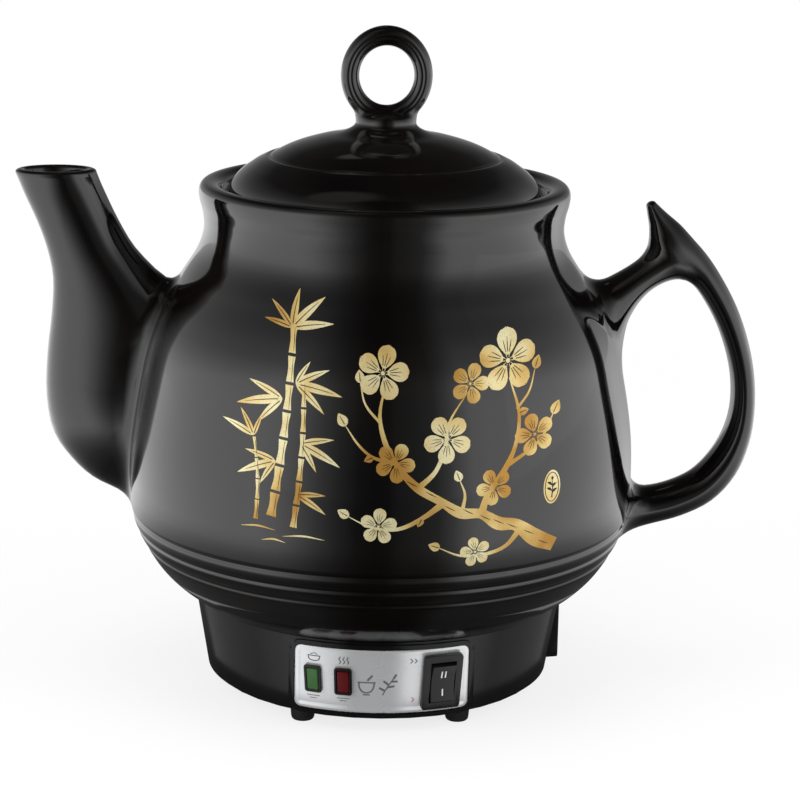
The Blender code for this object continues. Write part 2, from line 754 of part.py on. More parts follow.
# Lid
def lid_profile():
    """The lid's section, from the knob's neck over the dome, round the collar and back inside."""
    dome = [(LID_RADIUS * radius, LID_SEAT + LID_DOME_RISE * height) for radius, height in LID_DOME_SHARES]
    neck_top = LID_SEAT + KNOB_NECK_RISE
    flare = neck_top - dome[0][1]
    neck = [
        (0.0, neck_top),
        (KNOB_NECK_RADIUS * 0.86, neck_top),
        (KNOB_NECK_RADIUS, neck_top - flare * 0.16),
        (KNOB_NECK_RADIUS * 1.02, neck_top - flare * 0.42),
        (KNOB_NECK_RADIUS * 1.14, neck_top - flare * 0.70),
    ]
    collar = MOUTH_RADIUS - LID_COLLAR_PLAY
    low = LID_SEAT - LID_COLLAR_DEPTH
    chamfer = LID_COLLAR_WIDTH / 5
    inner = collar - LID_COLLAR_WIDTH
    under = [
        (collar, LID_SEAT), (collar, low + chamfer), (collar - chamfer, low),
        (inner + chamfer, low), (inner, low + chamfer),
    ]
    inside = [(LID_RADIUS * radius, LID_SEAT + LID_DOME_RISE * height)
              for radius, height in LID_INSIDE_SHARES]
    return neck + dome + under + inside


def make_lid():
    """The lid with its collar, and the ring knob standing on its neck."""
    lid = turn(add_part("lid", profile_mesh("lid", lid_profile()), GLAZE))
    thickness = KNOB_RING_RADIUS - KNOB_HOLE_RADIUS
    half = KNOB_RING_DEPTH / 2
    outer, inner = KNOB_RING_RADIUS, KNOB_HOLE_RADIUS
    section = [
        (outer, half * 0.40), (outer, -half * 0.40), (outer - thickness * 0.30, -half),
        (inner + thickness * 0.25, -half * 0.85), (inner, -half * 0.30), (inner, half * 0.30),
        (inner + thickness * 0.25, half * 0.85), (outer - thickness * 0.30, half),
    ]
    ring = turn(add_cutter("knob ring", profile_mesh("knob ring", section, closed=True)), KNOB_STEPS)
    ring.rotation_euler = (math.radians(90.0), 0.0, 0.0)
    ring.scale = (1.0, KNOB_STRETCH, 1.0)
    ring.location = (0.0, 0.0, LID_SEAT + KNOB_RING_RISE)
    combine(lid, ring, "UNION")
    return lid


# Base skirt
def cone_band(name, inner_offset, outer_offset):
    """A ring that follows the skirt's cone in front, between two offsets from its surface."""
    low, high = CONTROL_RISE - CONTROL_HEIGHT, CONTROL_RISE + CONTROL_HEIGHT
    points = [
        (skirt_radius(high) + outer_offset, high), (skirt_radius(low) + outer_offset, low),
        (skirt_radius(low) + inner_offset, low), (skirt_radius(high) + inner_offset, high),
    ]
    return profile_mesh(name, points, closed=True)


def control_prism(name, margin):
    """The control plate's outline with a margin all round, running in from the front."""
    size = (CONTROL_WIDTH + 2 * margin, SKIRT_TOP_RADIUS, CONTROL_HEIGHT + 2 * margin)
    centre = (0.0, -SKIRT_TOP_RADIUS, CONTROL_RISE)
    return block_mesh(name, size, centre, CONTROL_CORNER + margin, 3, along=1)


def control_blank(name, margin, inner_offset, outer_offset):
    """A cutter in the shape of the control plate, wider by a margin, between two offsets."""
    blank = turn(add_cutter(name, cone_band(name, inner_offset, outer_offset)))
    combine(blank, add_cutter(f"{name} outline", control_prism(f"{name} outline", margin)), "INTERSECT")
    return blank


def skirt_profile():
    """The skirt's wall, with the rim round the seal and the ledge under it."""
    ledge_under = LEDGE_TOP - LEDGE_THICKNESS
    gusset = ledge_under - LEDGE_THICKNESS
    ledge_radius = SEAL_RADIUS - SEAL_WIDTH - SEAT_GAP
    return [
        (SKIRT_TOP_RADIUS, SKIRT_TOP),
        (skirt_radius(SKIRT_BOTTOM + SKIRT_EDGE_ROUND), SKIRT_BOTTOM + SKIRT_EDGE_ROUND),
        (SKIRT_FOOT_RADIUS - SKIRT_EDGE_ROUND, SKIRT_BOTTOM),
        (SKIRT_FOOT_RADIUS - SKIRT_WALL, SKIRT_BOTTOM),
        (skirt_radius(gusset) - SKIRT_WALL, gusset),
        (ledge_radius, ledge_under),
        (ledge_radius, LEDGE_TOP),
        (SKIRT_TOP_RADIUS - SKIRT_RIM_WIDTH, LEDGE_TOP),
        (SKIRT_TOP_RADIUS - SKIRT_RIM_WIDTH, SKIRT_TOP),
    ]


def boss_meshes(azimuth, top):
    """A screw boss and the rib that ties it to the skirt's wall."""
    foot = on_circle(BOSS_CIRCLE, azimuth, SKIRT_BOTTOM)
    boss = rod_mesh("boss", BOSS_RADIUS, foot, foot + Vector((0.0, 0.0, top - SKIRT_BOTTOM)))
    length = SKIRT_FOOT_RADIUS - SKIRT_WALL / 2 - BOSS_CIRCLE
    height = top - SKIRT_BOTTOM - BOSS_RADIUS
    rib = block_mesh("rib", (length, BOSS_RIB_WIDTH, height),
                     (BOSS_CIRCLE + length / 2, 0.0, SKIRT_BOTTOM + height / 2))
    rib.transform(Matrix.Rotation(math.radians(azimuth), 4, "Z"))
    return [boss, rib]


def make_skirt(frames):
    """The plastic shell that stands on the feet and carries the pot."""
    skirt = turn(add_part("base_skirt", profile_mesh("base_skirt", skirt_profile(), closed=True), PLASTIC))
    combine(skirt, control_blank("control rim", CONTROL_RIM_WIDTH + SEAT_GAP, -CONTROL_RECESS - SKIRT_WALL / 4,
                                 CONTROL_RIM_PROUD), "UNION")
    for azimuth in sorted({*COVER_SCREW_AZIMUTHS, *BRIDGE_SCREW_AZIMUTHS}):
        top = BOSS_TOP if azimuth in BRIDGE_SCREW_AZIMUTHS else COVER_BOSS_TOP
        for mesh in boss_meshes(azimuth, top):
            combine(skirt, add_cutter(f"{mesh.name} {azimuth:.0f}", mesh), "UNION")
    box = block_mesh("inlet box", (INLET_BOX_WIDTH, INLET_BOX_DEPTH, INLET_BOX_HEIGHT),
                     (0.0, INLET_BOX_DEPTH / 2, SKIRT_BOTTOM + INLET_BOX_HEIGHT / 2 - INLET_SOCKET_RISE),
                     INLET_CORNER / 2, 2, along=1)
    combine(skirt, add_cutter("inlet box", box, frames["inlet"]), "UNION")
    for side in (-1.0, 1.0):
        post = rod_mesh("board post", BOARD_POST_RADIUS, (side * BOARD_POST_PLACE, SKIRT_WALL / 2, 0.0),
                        (side * BOARD_POST_PLACE, BOARD_FRONT - SEAT_GAP, 0.0), SMALL_STEPS // 2)
        combine(skirt, add_cutter("board post", post, frames["board"]), "UNION")
    pocket = control_blank("control pocket", SEAT_GAP, -CONTROL_RECESS, OVERRUN)
    combine(skirt, pocket, "DIFFERENCE")
    for cutter in opening_cutters(frames):
        combine(skirt, cutter, "DIFFERENCE")
    socket = block_mesh("inlet pocket", (INLET_SOCKET_WIDTH + 2 * SEAT_GAP, INLET_BOX_DEPTH + 2 * OVERRUN,
                                         INLET_SOCKET_HEIGHT + 2 * SEAT_GAP),
                        (0.0, INLET_BOX_DEPTH / 2, 0.0), INLET_CORNER, 2, along=1)
    combine(skirt, add_cutter("inlet pocket", socket, frames["inlet"]), "DIFFERENCE")
    combine(skirt, add_cutter("cover seat", rod_mesh(
        "cover seat", COVER_RADIUS + SEAT_GAP, (0.0, 0.0, SKIRT_BOTTOM - OVERRUN),
        (0.0, 0.0, COVER_TOP + SEAT_GAP), ROUND_STEPS)), "DIFFERENCE")
    combine(skirt, add_cutter("boss bores", boss_bores()), "DIFFERENCE")
    return skirt


def boss_bores():
    """The screw holes up and down the bosses."""
    depth = SCREW_LENGTH + SEAT_GAP
    radius = SCREW_RADIUS + SEAT_GAP
    bores = []
    for azimuth in COVER_SCREW_AZIMUTHS:
        bores.append(rod_mesh("bore", radius, on_circle(BOSS_CIRCLE, azimuth, SKIRT_BOTTOM),
                              on_circle(BOSS_CIRCLE, azimuth, SCREW_HEAD_TOP + depth)))
    for azimuth in BRIDGE_SCREW_AZIMUTHS:
        low = BRIDGE_LOW + BRIDGE_THICKNESS + SEAT_GAP - depth
        bores.append(rod_mesh("bore", radius, on_circle(BOSS_CIRCLE, azimuth, low),
                              on_circle(BOSS_CIRCLE, azimuth, BOSS_TOP + OVERRUN)))
    return several("boss bores", bores)


def opening_cutters(frames):
    """The holes for the switch and the two lamps, through plate and skirt alike."""
    depth = 2 * OVERRUN + SKIRT_WALL
    openings = (
        ("switch", SWITCH_BODY_WIDTH, SWITCH_BODY_HEIGHT),
        ("warm", LAMP_BODY_WIDTH, LAMP_BODY_HEIGHT),
        ("heat", LAMP_BODY_WIDTH, LAMP_BODY_HEIGHT),
    )
    cutters = []
    for key, width, height in openings:
        name = f"{key} opening"
        mesh = block_mesh(name, (width + 2 * SEAT_GAP, depth, height + 2 * SEAT_GAP))
        cutters.append(add_cutter(name, mesh, frames[key]))
    return cutters


def make_control_plate(frames):
    """The bright plate round the controls, bent to the skirt."""
    inner = SEAT_GAP - CONTROL_RECESS
    band = cone_band("control_plate", inner, inner + CONTROL_THICKNESS)
    plate = turn(add_part("control_plate", band, BRUSHED))
    combine(plate, add_cutter("plate outline", control_prism("plate outline", 0.0)), "INTERSECT")
    for cutter in opening_cutters(frames):
        combine(plate, cutter, "DIFFERENCE")
    return plate


def make_seal():
    """The silicone ring between the pot's foot and the skirt's ledge."""
    low = LEDGE_TOP + SEAT_GAP
    points = [
        (SEAL_RADIUS, low + SEAL_THICKNESS), (SEAL_RADIUS, low),
        (SEAL_RADIUS - SEAL_WIDTH, low), (SEAL_RADIUS - SEAL_WIDTH, low + SEAL_THICKNESS),
    ]
    turn(add_part("skirt_seal", profile_mesh("skirt_seal", points, closed=True), SILICONE))


def screw_profile(head_first):
    """A pan-head screw: the head's inner face is at height 0 and the shank runs up (head_first) or down."""
    direction = 1.0 if head_first else -1.0
    half = [
        (0.0, -SCREW_HEAD_HEIGHT), (SCREW_HEAD_RADIUS * 0.7, -SCREW_HEAD_HEIGHT),
        (SCREW_HEAD_RADIUS, -SCREW_HEAD_HEIGHT * 0.5), (SCREW_HEAD_RADIUS, 0.0), (SCREW_RADIUS, 0.0),
        (SCREW_RADIUS, SCREW_LENGTH - SCREW_RADIUS), (0.0, SCREW_LENGTH),
    ]
    points = [(radius, direction * height) for radius, height in half]
    return points[::-1] if head_first else points


def make_cover():
    """The bottom cover with its vents, its screws and the rubber feet."""
    size = (COVER_RADIUS, (0.0, 0.0, SKIRT_BOTTOM), (0.0, 0.0, COVER_TOP))
    cover = add_part("bottom_cover", rod_mesh("bottom_cover", *size, ROUND_STEPS), PLASTIC)
    cuts = []
    for azimuth in COVER_SCREW_AZIMUTHS:
        foot = on_circle(BOSS_CIRCLE, azimuth, SKIRT_BOTTOM)
        up = Vector((0.0, 0.0, 1.0))
        cuts.append(rod_mesh("screw hole", SCREW_RADIUS + SEAT_GAP, foot + up * COVER_SINK / 2,
                             foot + up * (COVER_THICKNESS + OVERRUN)))
        cuts.append(rod_mesh("screw sink", SCREW_HEAD_RADIUS + SEAT_GAP, foot - up * OVERRUN, foot + up * COVER_SINK))
    for cut in cuts:
        combine(cover, add_cutter("cover cut", cut), "DIFFERENCE")
    stems = [
        rod_mesh("stem hole", FOOT_STEM_RADIUS + SEAT_GAP, on_circle(FOOT_CIRCLE, azimuth, SKIRT_BOTTOM - OVERRUN),
                 on_circle(FOOT_CIRCLE, azimuth, COVER_TOP + OVERRUN))
        for azimuth in foot_azimuths()
    ]
    combine(cover, add_cutter("stem holes", several("stem holes", stems)), "DIFFERENCE")
    vents = [
        block_mesh("vent", (VENT_WIDTH, VENT_LENGTH, COVER_THICKNESS + 2 * OVERRUN),
                   ((number - (VENT_COUNT - 1) / 2) * VENT_PITCH, 0.0, (SKIRT_BOTTOM + COVER_TOP) / 2))
        for number in range(VENT_COUNT)
    ]
    combine(cover, add_cutter("vents", several("vents", vents)), "DIFFERENCE")
    for number, azimuth in enumerate(COVER_SCREW_AZIMUTHS, 1):
        name = f"cover_screw_{number}"
        screw = turn(add_part(name, profile_mesh(name, screw_profile(True)), STEEL), SMALL_STEPS)
        screw.location = on_circle(BOSS_CIRCLE, azimuth, SCREW_HEAD_TOP)
    for number, azimuth in enumerate(foot_azimuths(), 1):
        name = f"foot_{number}"
        foot = turn(add_part(name, profile_mesh(name, foot_profile()), RUBBER), SMALL_STEPS)
        foot.location = on_circle(FOOT_CIRCLE, azimuth, 0.0)


def foot_azimuths():
    """Azimuths of the feet: evenly spaced, with a pair in front."""
    step = 360.0 / FOOT_COUNT
    return [CONTROL_AZIMUTH + step / 2 + number * step for number in range(FOOT_COUNT)]


def foot_profile():
    """A rubber foot with its stem and the head that snaps in behind the cover, top to bottom."""
    head_low = COVER_TOP + SEAT_GAP
    pad_top = FOOT_PAD_HEIGHT - SEAT_GAP
    return [
        (0.0, head_low + FOOT_HEAD_HEIGHT), (FOOT_STEM_RADIUS, head_low + FOOT_HEAD_HEIGHT),
        (FOOT_HEAD_RADIUS, head_low), (FOOT_STEM_RADIUS, head_low), (FOOT_STEM_RADIUS, pad_top),
        (FOOT_PAD_RADIUS, pad_top), (FOOT_PAD_RADIUS * 0.92, pad_top * 0.15),
        (FOOT_PAD_RADIUS * 0.80, 0.0), (0.0, 0.0),
    ]


# Heating plate and thermostats
def heater_path():
    """The heating tube's middle line: a ring with a gap at the back, and two legs down."""
    half_gap = HEATER_GAP_ANGLE / 2
    turn_angle = 360.0 - HEATER_GAP_ANGLE
    ring = [
        on_circle(HEATER_RING_RADIUS, 90.0 + half_gap + turn_angle * number / (HEATER_POINTS - 1), PLATE_UNDERSIDE)
        for number in range(HEATER_POINTS)
    ]
    drop = Vector((0.0, 0.0, HEATER_LEG_DROP))
    return [ring[0] - drop, *ring, ring[-1] - drop]


def make_heater():
    """The heating plate, the tube in its groove, and the shield under both."""
    profile = [
        (0.0, RECESS_ROOF - SEAT_GAP), (PLATE_RADIUS, RECESS_ROOF - SEAT_GAP), (PLATE_RADIUS, PLATE_UNDERSIDE),
        (PLATE_BOSS_RADIUS, PLATE_UNDERSIDE), (PLATE_BOSS_RADIUS, PLATE_BOSS_FACE), (0.0, PLATE_BOSS_FACE),
    ]
    plate = turn(add_part("heating_plate", profile_mesh("heating_plate", profile), CAST))
    groove = tube_curve("heater groove", heater_path(), HEATER_TUBE_RADIUS + SEAT_GAP)
    combine(plate, add_cutter("heater groove", welded_mesh(groove)), "DIFFERENCE")
    tube = bpy.data.objects.new("heater_tube", tube_curve("heater_tube", heater_path(), HEATER_TUBE_RADIUS))
    tube.data.materials.append(STEEL)
    POT.objects.link(tube)
    shield = add_part("heat_shield", rod_mesh("heat_shield", SHIELD_RADIUS, (0.0, 0.0, SHIELD_UNDERSIDE),
                                              (0.0, 0.0, SHIELD_TOP), ROUND_STEPS), STEEL)
    legs = heater_path()
    holes = [(legs[0], HEATER_TUBE_RADIUS + SHIELD_THICKNESS), (legs[-1], HEATER_TUBE_RADIUS + SHIELD_THICKNESS)]
    holes += [(Vector((side * THERMOSTAT_PLACE, 0.0, 0.0)), THERMOSTAT_RADIUS + 2 * SEAT_GAP) for side in (-1, 1)]
    for place, radius in holes:
        start = Vector((place.x, place.y, SHIELD_UNDERSIDE - OVERRUN))
        end = Vector((place.x, place.y, SHIELD_TOP + OVERRUN))
        combine(shield, add_cutter("shield hole", rod_mesh("shield hole", radius, start, end)), "DIFFERENCE")


def make_bridge():
    """The steel strap that presses shield and plate up, with its two screws."""
    end = BOSS_CIRCLE + BOSS_RADIUS
    pad = BRIDGE_PAD_LENGTH / 2
    slope = BRIDGE_HIGH - BRIDGE_LOW
    low = [(-end, BRIDGE_LOW), (-pad - slope, BRIDGE_LOW), (-pad, BRIDGE_HIGH), (pad, BRIDGE_HIGH),
           (pad + slope, BRIDGE_LOW), (end, BRIDGE_LOW)]
    high = [(across, up + BRIDGE_THICKNESS) for across, up in reversed(low)]
    bridge = add_part("press_bridge", outline_mesh("press_bridge", low + high, BRIDGE_WIDTH), STEEL)
    head_face = BRIDGE_LOW + BRIDGE_THICKNESS + SEAT_GAP
    for number, azimuth in enumerate(BRIDGE_SCREW_AZIMUTHS, 1):
        hole = rod_mesh("bridge hole", SCREW_RADIUS + SEAT_GAP, on_circle(BOSS_CIRCLE, azimuth, BRIDGE_LOW - OVERRUN),
                        on_circle(BOSS_CIRCLE, azimuth, head_face + OVERRUN))
        combine(bridge, add_cutter("bridge hole", hole), "DIFFERENCE")
        name = f"bridge_screw_{number}"
        screw = turn(add_part(name, profile_mesh(name, screw_profile(False)), STEEL), SMALL_STEPS)
        screw.location = on_circle(BOSS_CIRCLE, azimuth, head_face)


def make_thermostats():
    """Two snap thermostats and the thermal fuse under the plate."""
    top = PLATE_UNDERSIDE - SEAT_GAP
    for name, side in (("thermostat_high", -1.0), ("thermostat_warm", 1.0)):
        place = Vector((side * THERMOSTAT_PLACE, 0.0, top))
        body = rod_mesh(name, THERMOSTAT_RADIUS, place - Vector((0.0, 0.0, THERMOSTAT_HEIGHT)), place)
        item = add_part(name, body, BAKELITE)
        tabs = block_mesh("thermostat tabs", (
            THERMOSTAT_TAB_WIDTH, 2 * (THERMOSTAT_RADIUS + THERMOSTAT_TAB_LENGTH), THERMOSTAT_TAB_THICKNESS),
            (place.x, 0.0, top - THERMOSTAT_HEIGHT + THERMOSTAT_TAB_THICKNESS))
        combine(item, add_cutter("thermostat tabs", tabs), "UNION")
    half = FUSE_LENGTH / 2
    height = top - FUSE_RADIUS
    fuse = rod_mesh("thermal_fuse", FUSE_RADIUS, (-half, -FUSE_PLACE, height), (half, -FUSE_PLACE, height))
    add_part("thermal_fuse", fuse, BAKELITE)


# Switch
def rocker_outline():
    """The rocker's section across its axis: dished front, clear of the well as it tips."""
    corner_depth = ROCKER_PIVOT_DEPTH + ROCKER_PROUD
    sweep = WELL_HEIGHT / 2 - SEAT_GAP
    half = math.sqrt(sweep ** 2 - corner_depth ** 2)
    upper = [
        (-ROCKER_PIVOT_DEPTH, 0.0), (-ROCKER_PIVOT_DEPTH - ROCKER_PROUD * 0.28, half * 0.5),
        (-corner_depth, half), (-ROCKER_PIVOT_DEPTH * 0.2, half * 1.03),
        (ROCKER_BACK * 0.55, half * 0.80), (ROCKER_BACK, half * 0.38),
    ]
    lower = [(depth, -up) for depth, up in reversed(upper[1:])]
    return upper + lower


def make_switch(frame):
    """The rocker switch: housing with bezel, rocker on its pivots, and three blade terminals."""
    bezel = block_mesh("switch bezel", (BEZEL_WIDTH, BEZEL_THICKNESS, BEZEL_HEIGHT),
                       (0.0, FLANGE_BACK - BEZEL_THICKNESS / 2, 0.0), BEZEL_CORNER, 2, along=1)
    housing = add_part("switch_housing", bezel, SWITCH_PLASTIC, frame)
    body_front = FLANGE_BACK - BEZEL_THICKNESS / 2
    body_back = FLANGE_BACK + SWITCH_BODY_DEPTH
    body = block_mesh("switch body", (SWITCH_BODY_WIDTH, body_back - body_front, SWITCH_BODY_HEIGHT),
                      (0.0, (body_front + body_back) / 2, 0.0))
    combine(housing, add_cutter("switch body", body, frame), "UNION")
    well = block_mesh("switch well", (WELL_WIDTH, WELL_DEPTH + OVERRUN, WELL_HEIGHT),
                      (0.0, SWITCH_FRONT + (WELL_DEPTH - OVERRUN) / 2, 0.0))
    combine(housing, add_cutter("switch well", well, frame), "DIFFERENCE")
    reach = WELL_WIDTH / 2 + PIVOT_PIN_LENGTH
    bore = rod_mesh("pivot bore", PIVOT_PIN_RADIUS + PIVOT_PLAY, (-reach, ROCKER_AXIS, 0.0), (reach, ROCKER_AXIS, 0.0))
    combine(housing, add_cutter("pivot bore", bore, frame), "DIFFERENCE")
    for number in range(3):
        height = (1 - number) * SWITCH_TAB_PITCH
        front = body_back - SWITCH_TAB_BED
        slot = block_mesh("tab slot", (SWITCH_TAB_WIDTH + 2 * SEAT_GAP, 2 * SWITCH_TAB_BED,
                                       SWITCH_TAB_THICKNESS + 2 * SEAT_GAP), (0.0, body_back, height))
        combine(housing, add_cutter("tab slot", slot, frame), "DIFFERENCE")
        name = f"switch_tab_{number + 1}"
        tab = block_mesh(name, (SWITCH_TAB_WIDTH, SWITCH_TAB_LENGTH, SWITCH_TAB_THICKNESS),
                         (0.0, front + SEAT_GAP + SWITCH_TAB_LENGTH / 2, height))
        add_part(name, tab, BRASS, frame)
    pivot = bpy.data.objects.new("rocker_pivot", None)
    POT.objects.link(pivot)
    pivot.parent = frame
    pivot.location = (0.0, ROCKER_AXIS, 0.0)
    width = WELL_WIDTH - 2 * ROCKER_SIDE_PLAY
    rocker = add_part("switch_rocker", outline_mesh("switch_rocker", rocker_outline(), width), SWITCH_PLASTIC, pivot)
    pin = reach - PIVOT_PLAY
    pins = rod_mesh("rocker pins", PIVOT_PIN_RADIUS, (-pin, 0.0, 0.0), (pin, 0.0, 0.0))
    combine(rocker, add_cutter("rocker pins", pins, pivot), "UNION")


# Lamps
def make_lamp(key, lens_finish, frame):
    """An indicator: a framed body pushed through the plate, a coloured lens and the neon behind it."""
    front = FLANGE_BACK - LAMP_FRAME_THICKNESS
    flange = block_mesh(f"{key}_lamp_frame", (LAMP_FRAME_WIDTH, LAMP_FRAME_THICKNESS, LAMP_FRAME_HEIGHT),
                        (0.0, FLANGE_BACK - LAMP_FRAME_THICKNESS / 2, 0.0), LAMP_FRAME_THICKNESS, 2, along=1)
    holder = add_part(f"{key}_lamp_frame", flange, SWITCH_PLASTIC, frame)
    start = FLANGE_BACK - LAMP_FRAME_THICKNESS / 2
    body = block_mesh("lamp body", (LAMP_BODY_WIDTH, LAMP_BODY_DEPTH - start, LAMP_BODY_HEIGHT),
                      (0.0, (LAMP_BODY_DEPTH + start) / 2, 0.0))
    combine(holder, add_cutter(f"{key} lamp body", body, frame), "UNION")
    window = block_mesh("lamp window", (LENS_WIDTH + 2 * SEAT_GAP, 2 * (LAMP_BODY_DEPTH + OVERRUN),
                                        LENS_HEIGHT + 2 * SEAT_GAP))
    combine(holder, add_cutter(f"{key} lamp window", window, frame), "DIFFERENCE")
    face = front - LENS_PROUD
    lens = block_mesh(f"{key}_lamp_lens", (LENS_WIDTH, LENS_DEPTH - face, LENS_HEIGHT),
                      (0.0, (LENS_DEPTH + face) / 2, 0.0))
    add_part(f"{key}_lamp_lens", lens, lens_finish, frame)
    depth = LENS_DEPTH + SEAT_GAP + NEON_RADIUS
    half = NEON_LENGTH / 2
    neon = rod_mesh(f"{key}_neon", NEON_RADIUS, (0.0, depth, -half), (0.0, depth, half), SMALL_STEPS // 2)
    add_part(f"{key}_neon", neon, NEON_GLASS, frame)


def make_board(frame):
    """The small circuit board behind the lamps, on two posts of the skirt."""
    board = block_mesh("lamp_board", (BOARD_WIDTH, BOARD_THICKNESS, BOARD_HEIGHT),
                       (0.0, BOARD_FRONT + BOARD_THICKNESS / 2, 0.0))
    add_part("lamp_board", board, BOARD, frame)


# Power inlet
def make_inlet(frame):
    """The appliance inlet: an open box with three flat pins through its back wall."""
    socket = block_mesh("inlet_socket", (INLET_SOCKET_WIDTH, INLET_SOCKET_DEPTH, INLET_SOCKET_HEIGHT),
                        (0.0, INLET_SOCKET_DEPTH / 2, 0.0), INLET_CORNER - SEAT_GAP, 2, along=1)
    socket = add_part("inlet_socket", socket, SWITCH_PLASTIC, frame)
    mouth = block_mesh("inlet mouth", (
        INLET_SOCKET_WIDTH - 2 * INLET_WALL, INLET_SOCKET_DEPTH - INLET_BACK + OVERRUN,
        INLET_SOCKET_HEIGHT - 2 * INLET_WALL),
        (0.0, (INLET_SOCKET_DEPTH - INLET_BACK - OVERRUN) / 2, 0.0), INLET_CORNER - INLET_WALL, 2, along=1)
    combine(socket, add_cutter("inlet mouth", mouth, frame), "DIFFERENCE")
    for number, name in enumerate(("line", "earth", "neutral")):
        across = (number - 1) * PIN_PITCH
        lift = PIN_EARTH_LIFT / 2 if name == "earth" else -PIN_EARTH_LIFT / 2
        front = INLET_SOCKET_DEPTH - INLET_BACK - PIN_FRONT
        back = INLET_SOCKET_DEPTH + PIN_TAIL
        pin = block_mesh(f"inlet_pin_{name}", (PIN_THICKNESS, back - front, PIN_WIDTH),
                         (across, (front + back) / 2, lift))
        add_part(f"inlet_pin_{name}", pin, BRASS, frame)
        slot = block_mesh("pin slot", (PIN_THICKNESS + 2 * SEAT_GAP, 2 * (INLET_BACK + OVERRUN), PIN_WIDTH + 2 * SEAT_GAP),
                          (across, INLET_SOCKET_DEPTH, lift))
        combine(socket, add_cutter(f"pin slot {name}", slot, frame), "DIFFERENCE")


def make_terminal_block():
    """The terminal block on the bottom cover, with a screw well for each way."""
    low = COVER_TOP + SEAT_GAP
    block = block_mesh("terminal_block", (BLOCK_LENGTH, BLOCK_WIDTH, BLOCK_HEIGHT),
                       (BLOCK_SHIFT, BLOCK_PLACE, low + BLOCK_HEIGHT / 2))
    block = add_part("terminal_block", block, BAKELITE)
    pitch = BLOCK_LENGTH / BLOCK_WAYS
    top = low + BLOCK_HEIGHT
    wells = []
    for number in range(BLOCK_WAYS):
        across = BLOCK_SHIFT + (number - (BLOCK_WAYS - 1) / 2) * pitch
        wells.append(rod_mesh("well", BLOCK_SCREW_RADIUS, (across, BLOCK_PLACE, top - BLOCK_HEIGHT / 3),
                              (across, BLOCK_PLACE, top + OVERRUN), SMALL_STEPS // 2))
    combine(block, add_cutter("terminal wells", several("terminal wells", wells)), "DIFFERENCE")


def main():
    """Build the whole pot."""
    frames = {
        "switch": control_frame("switch_frame", SWITCH_OFFSET),
        "warm": control_frame("warm_lamp_place", WARM_LAMP_OFFSET),
        "heat": control_frame("heat_lamp_place", HEAT_LAMP_OFFSET),
        "board": control_frame("board_frame", (WARM_LAMP_OFFSET + HEAT_LAMP_OFFSET) / 2),
        "inlet": wall_frame("inlet_frame", INLET_AZIMUTH, INLET_REACH, INLET_SOCKET_RISE, 0.0),
    }
    make_pot()
    make_lid()
    make_skirt(frames)
    make_seal()
    make_cover()
    make_heater()
    make_bridge()
    make_thermostats()
    make_control_plate(frames)
    make_switch(frames["switch"])
    make_lamp("warm", GREEN, frames["warm"])
    make_lamp("heat", RED, frames["heat"])
    make_board(frames["board"])
    make_inlet(frames["inlet"])
    make_terminal_block()


main()
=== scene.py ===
"""Looks of an electric herbal medicine pot: black glazed stoneware on a heated base.

Every length is in metres unless its name or comment says millimetres. The frame is the CAD's:
+Z up, origin on the pot's axis at table level, spout at -X, handle at +X, controls at -Y.
"""

import logging
import math
from dataclasses import dataclass, field
from enum import Enum
from typing import Callable, Iterable, Sequence

import bmesh
import bpy
import numpy as np
from mathutils import Matrix, Vector
from mathutils.bvhtree import BVHTree


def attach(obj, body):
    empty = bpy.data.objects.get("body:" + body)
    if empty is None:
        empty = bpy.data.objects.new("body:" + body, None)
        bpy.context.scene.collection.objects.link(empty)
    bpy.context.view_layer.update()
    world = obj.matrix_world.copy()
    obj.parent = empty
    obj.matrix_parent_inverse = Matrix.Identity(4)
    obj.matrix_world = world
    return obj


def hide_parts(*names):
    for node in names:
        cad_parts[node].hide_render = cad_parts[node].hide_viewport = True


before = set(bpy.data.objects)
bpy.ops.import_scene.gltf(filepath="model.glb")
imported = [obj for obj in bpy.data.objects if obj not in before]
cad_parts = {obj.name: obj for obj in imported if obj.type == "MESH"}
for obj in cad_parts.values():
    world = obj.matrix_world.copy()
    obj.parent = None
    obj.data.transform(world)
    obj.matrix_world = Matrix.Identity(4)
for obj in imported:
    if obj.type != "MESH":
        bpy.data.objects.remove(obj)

LOG = logging.getLogger("medicine_pot")
MM = 0.001
WELD = 0.00001
TINY = 1e-9
THINNEST_LINE = 0.02  # millimetres
ON_SURFACE = 0.8 * MM  # how far a vertex may lie off its own surface
INSIDE_SHARE = 0.25  # how deep under the other surface a fillet starts, as a share of its reach
FOLD_LIMIT = 1.5  # sum over a face's corners of its normal times theirs, below which it is folded
RELAXING_ROUNDS = 24
DROP_ROUNDS = 6
TRIM_ROUNDS = 4
LEAST_SLOPE = 0.2  # least squared slope of a merged distance that a step is divided by

Row = tuple[float, ...]
Socket = bpy.types.NodeSocket


class Body(Enum):
    """The CAD bodies that pieces ride on."""

    POT = "pot"
    LID = "lid"
    ROCKER = "rocker"


class Axis(Enum):
    """Axes that a profile turns round: the direction of its heights, and that of its radii."""

    Y = ((0.0, 1.0, 0.0), (0.0, 0.0, 1.0))
    Z = ((0.0, 0.0, 1.0), (1.0, 0.0, 0.0))


# Colours and nodes


def linear(code: str) -> tuple[float, float, float, float]:
    """Turn an sRGB hex colour into linear RGBA.

    Args:
        code: The colour as "#rrggbb".

    Returns:
        Linear red, green and blue, and an alpha of 1.
    """
    values = [int(code[place:place + 2], 16) / 255.0 for place in (1, 3, 5)]
    red, green, blue = (v / 12.92 if v <= 0.04045 else ((v + 0.055) / 1.055) ** 2.4 for v in values)
    return red, green, blue, 1.0


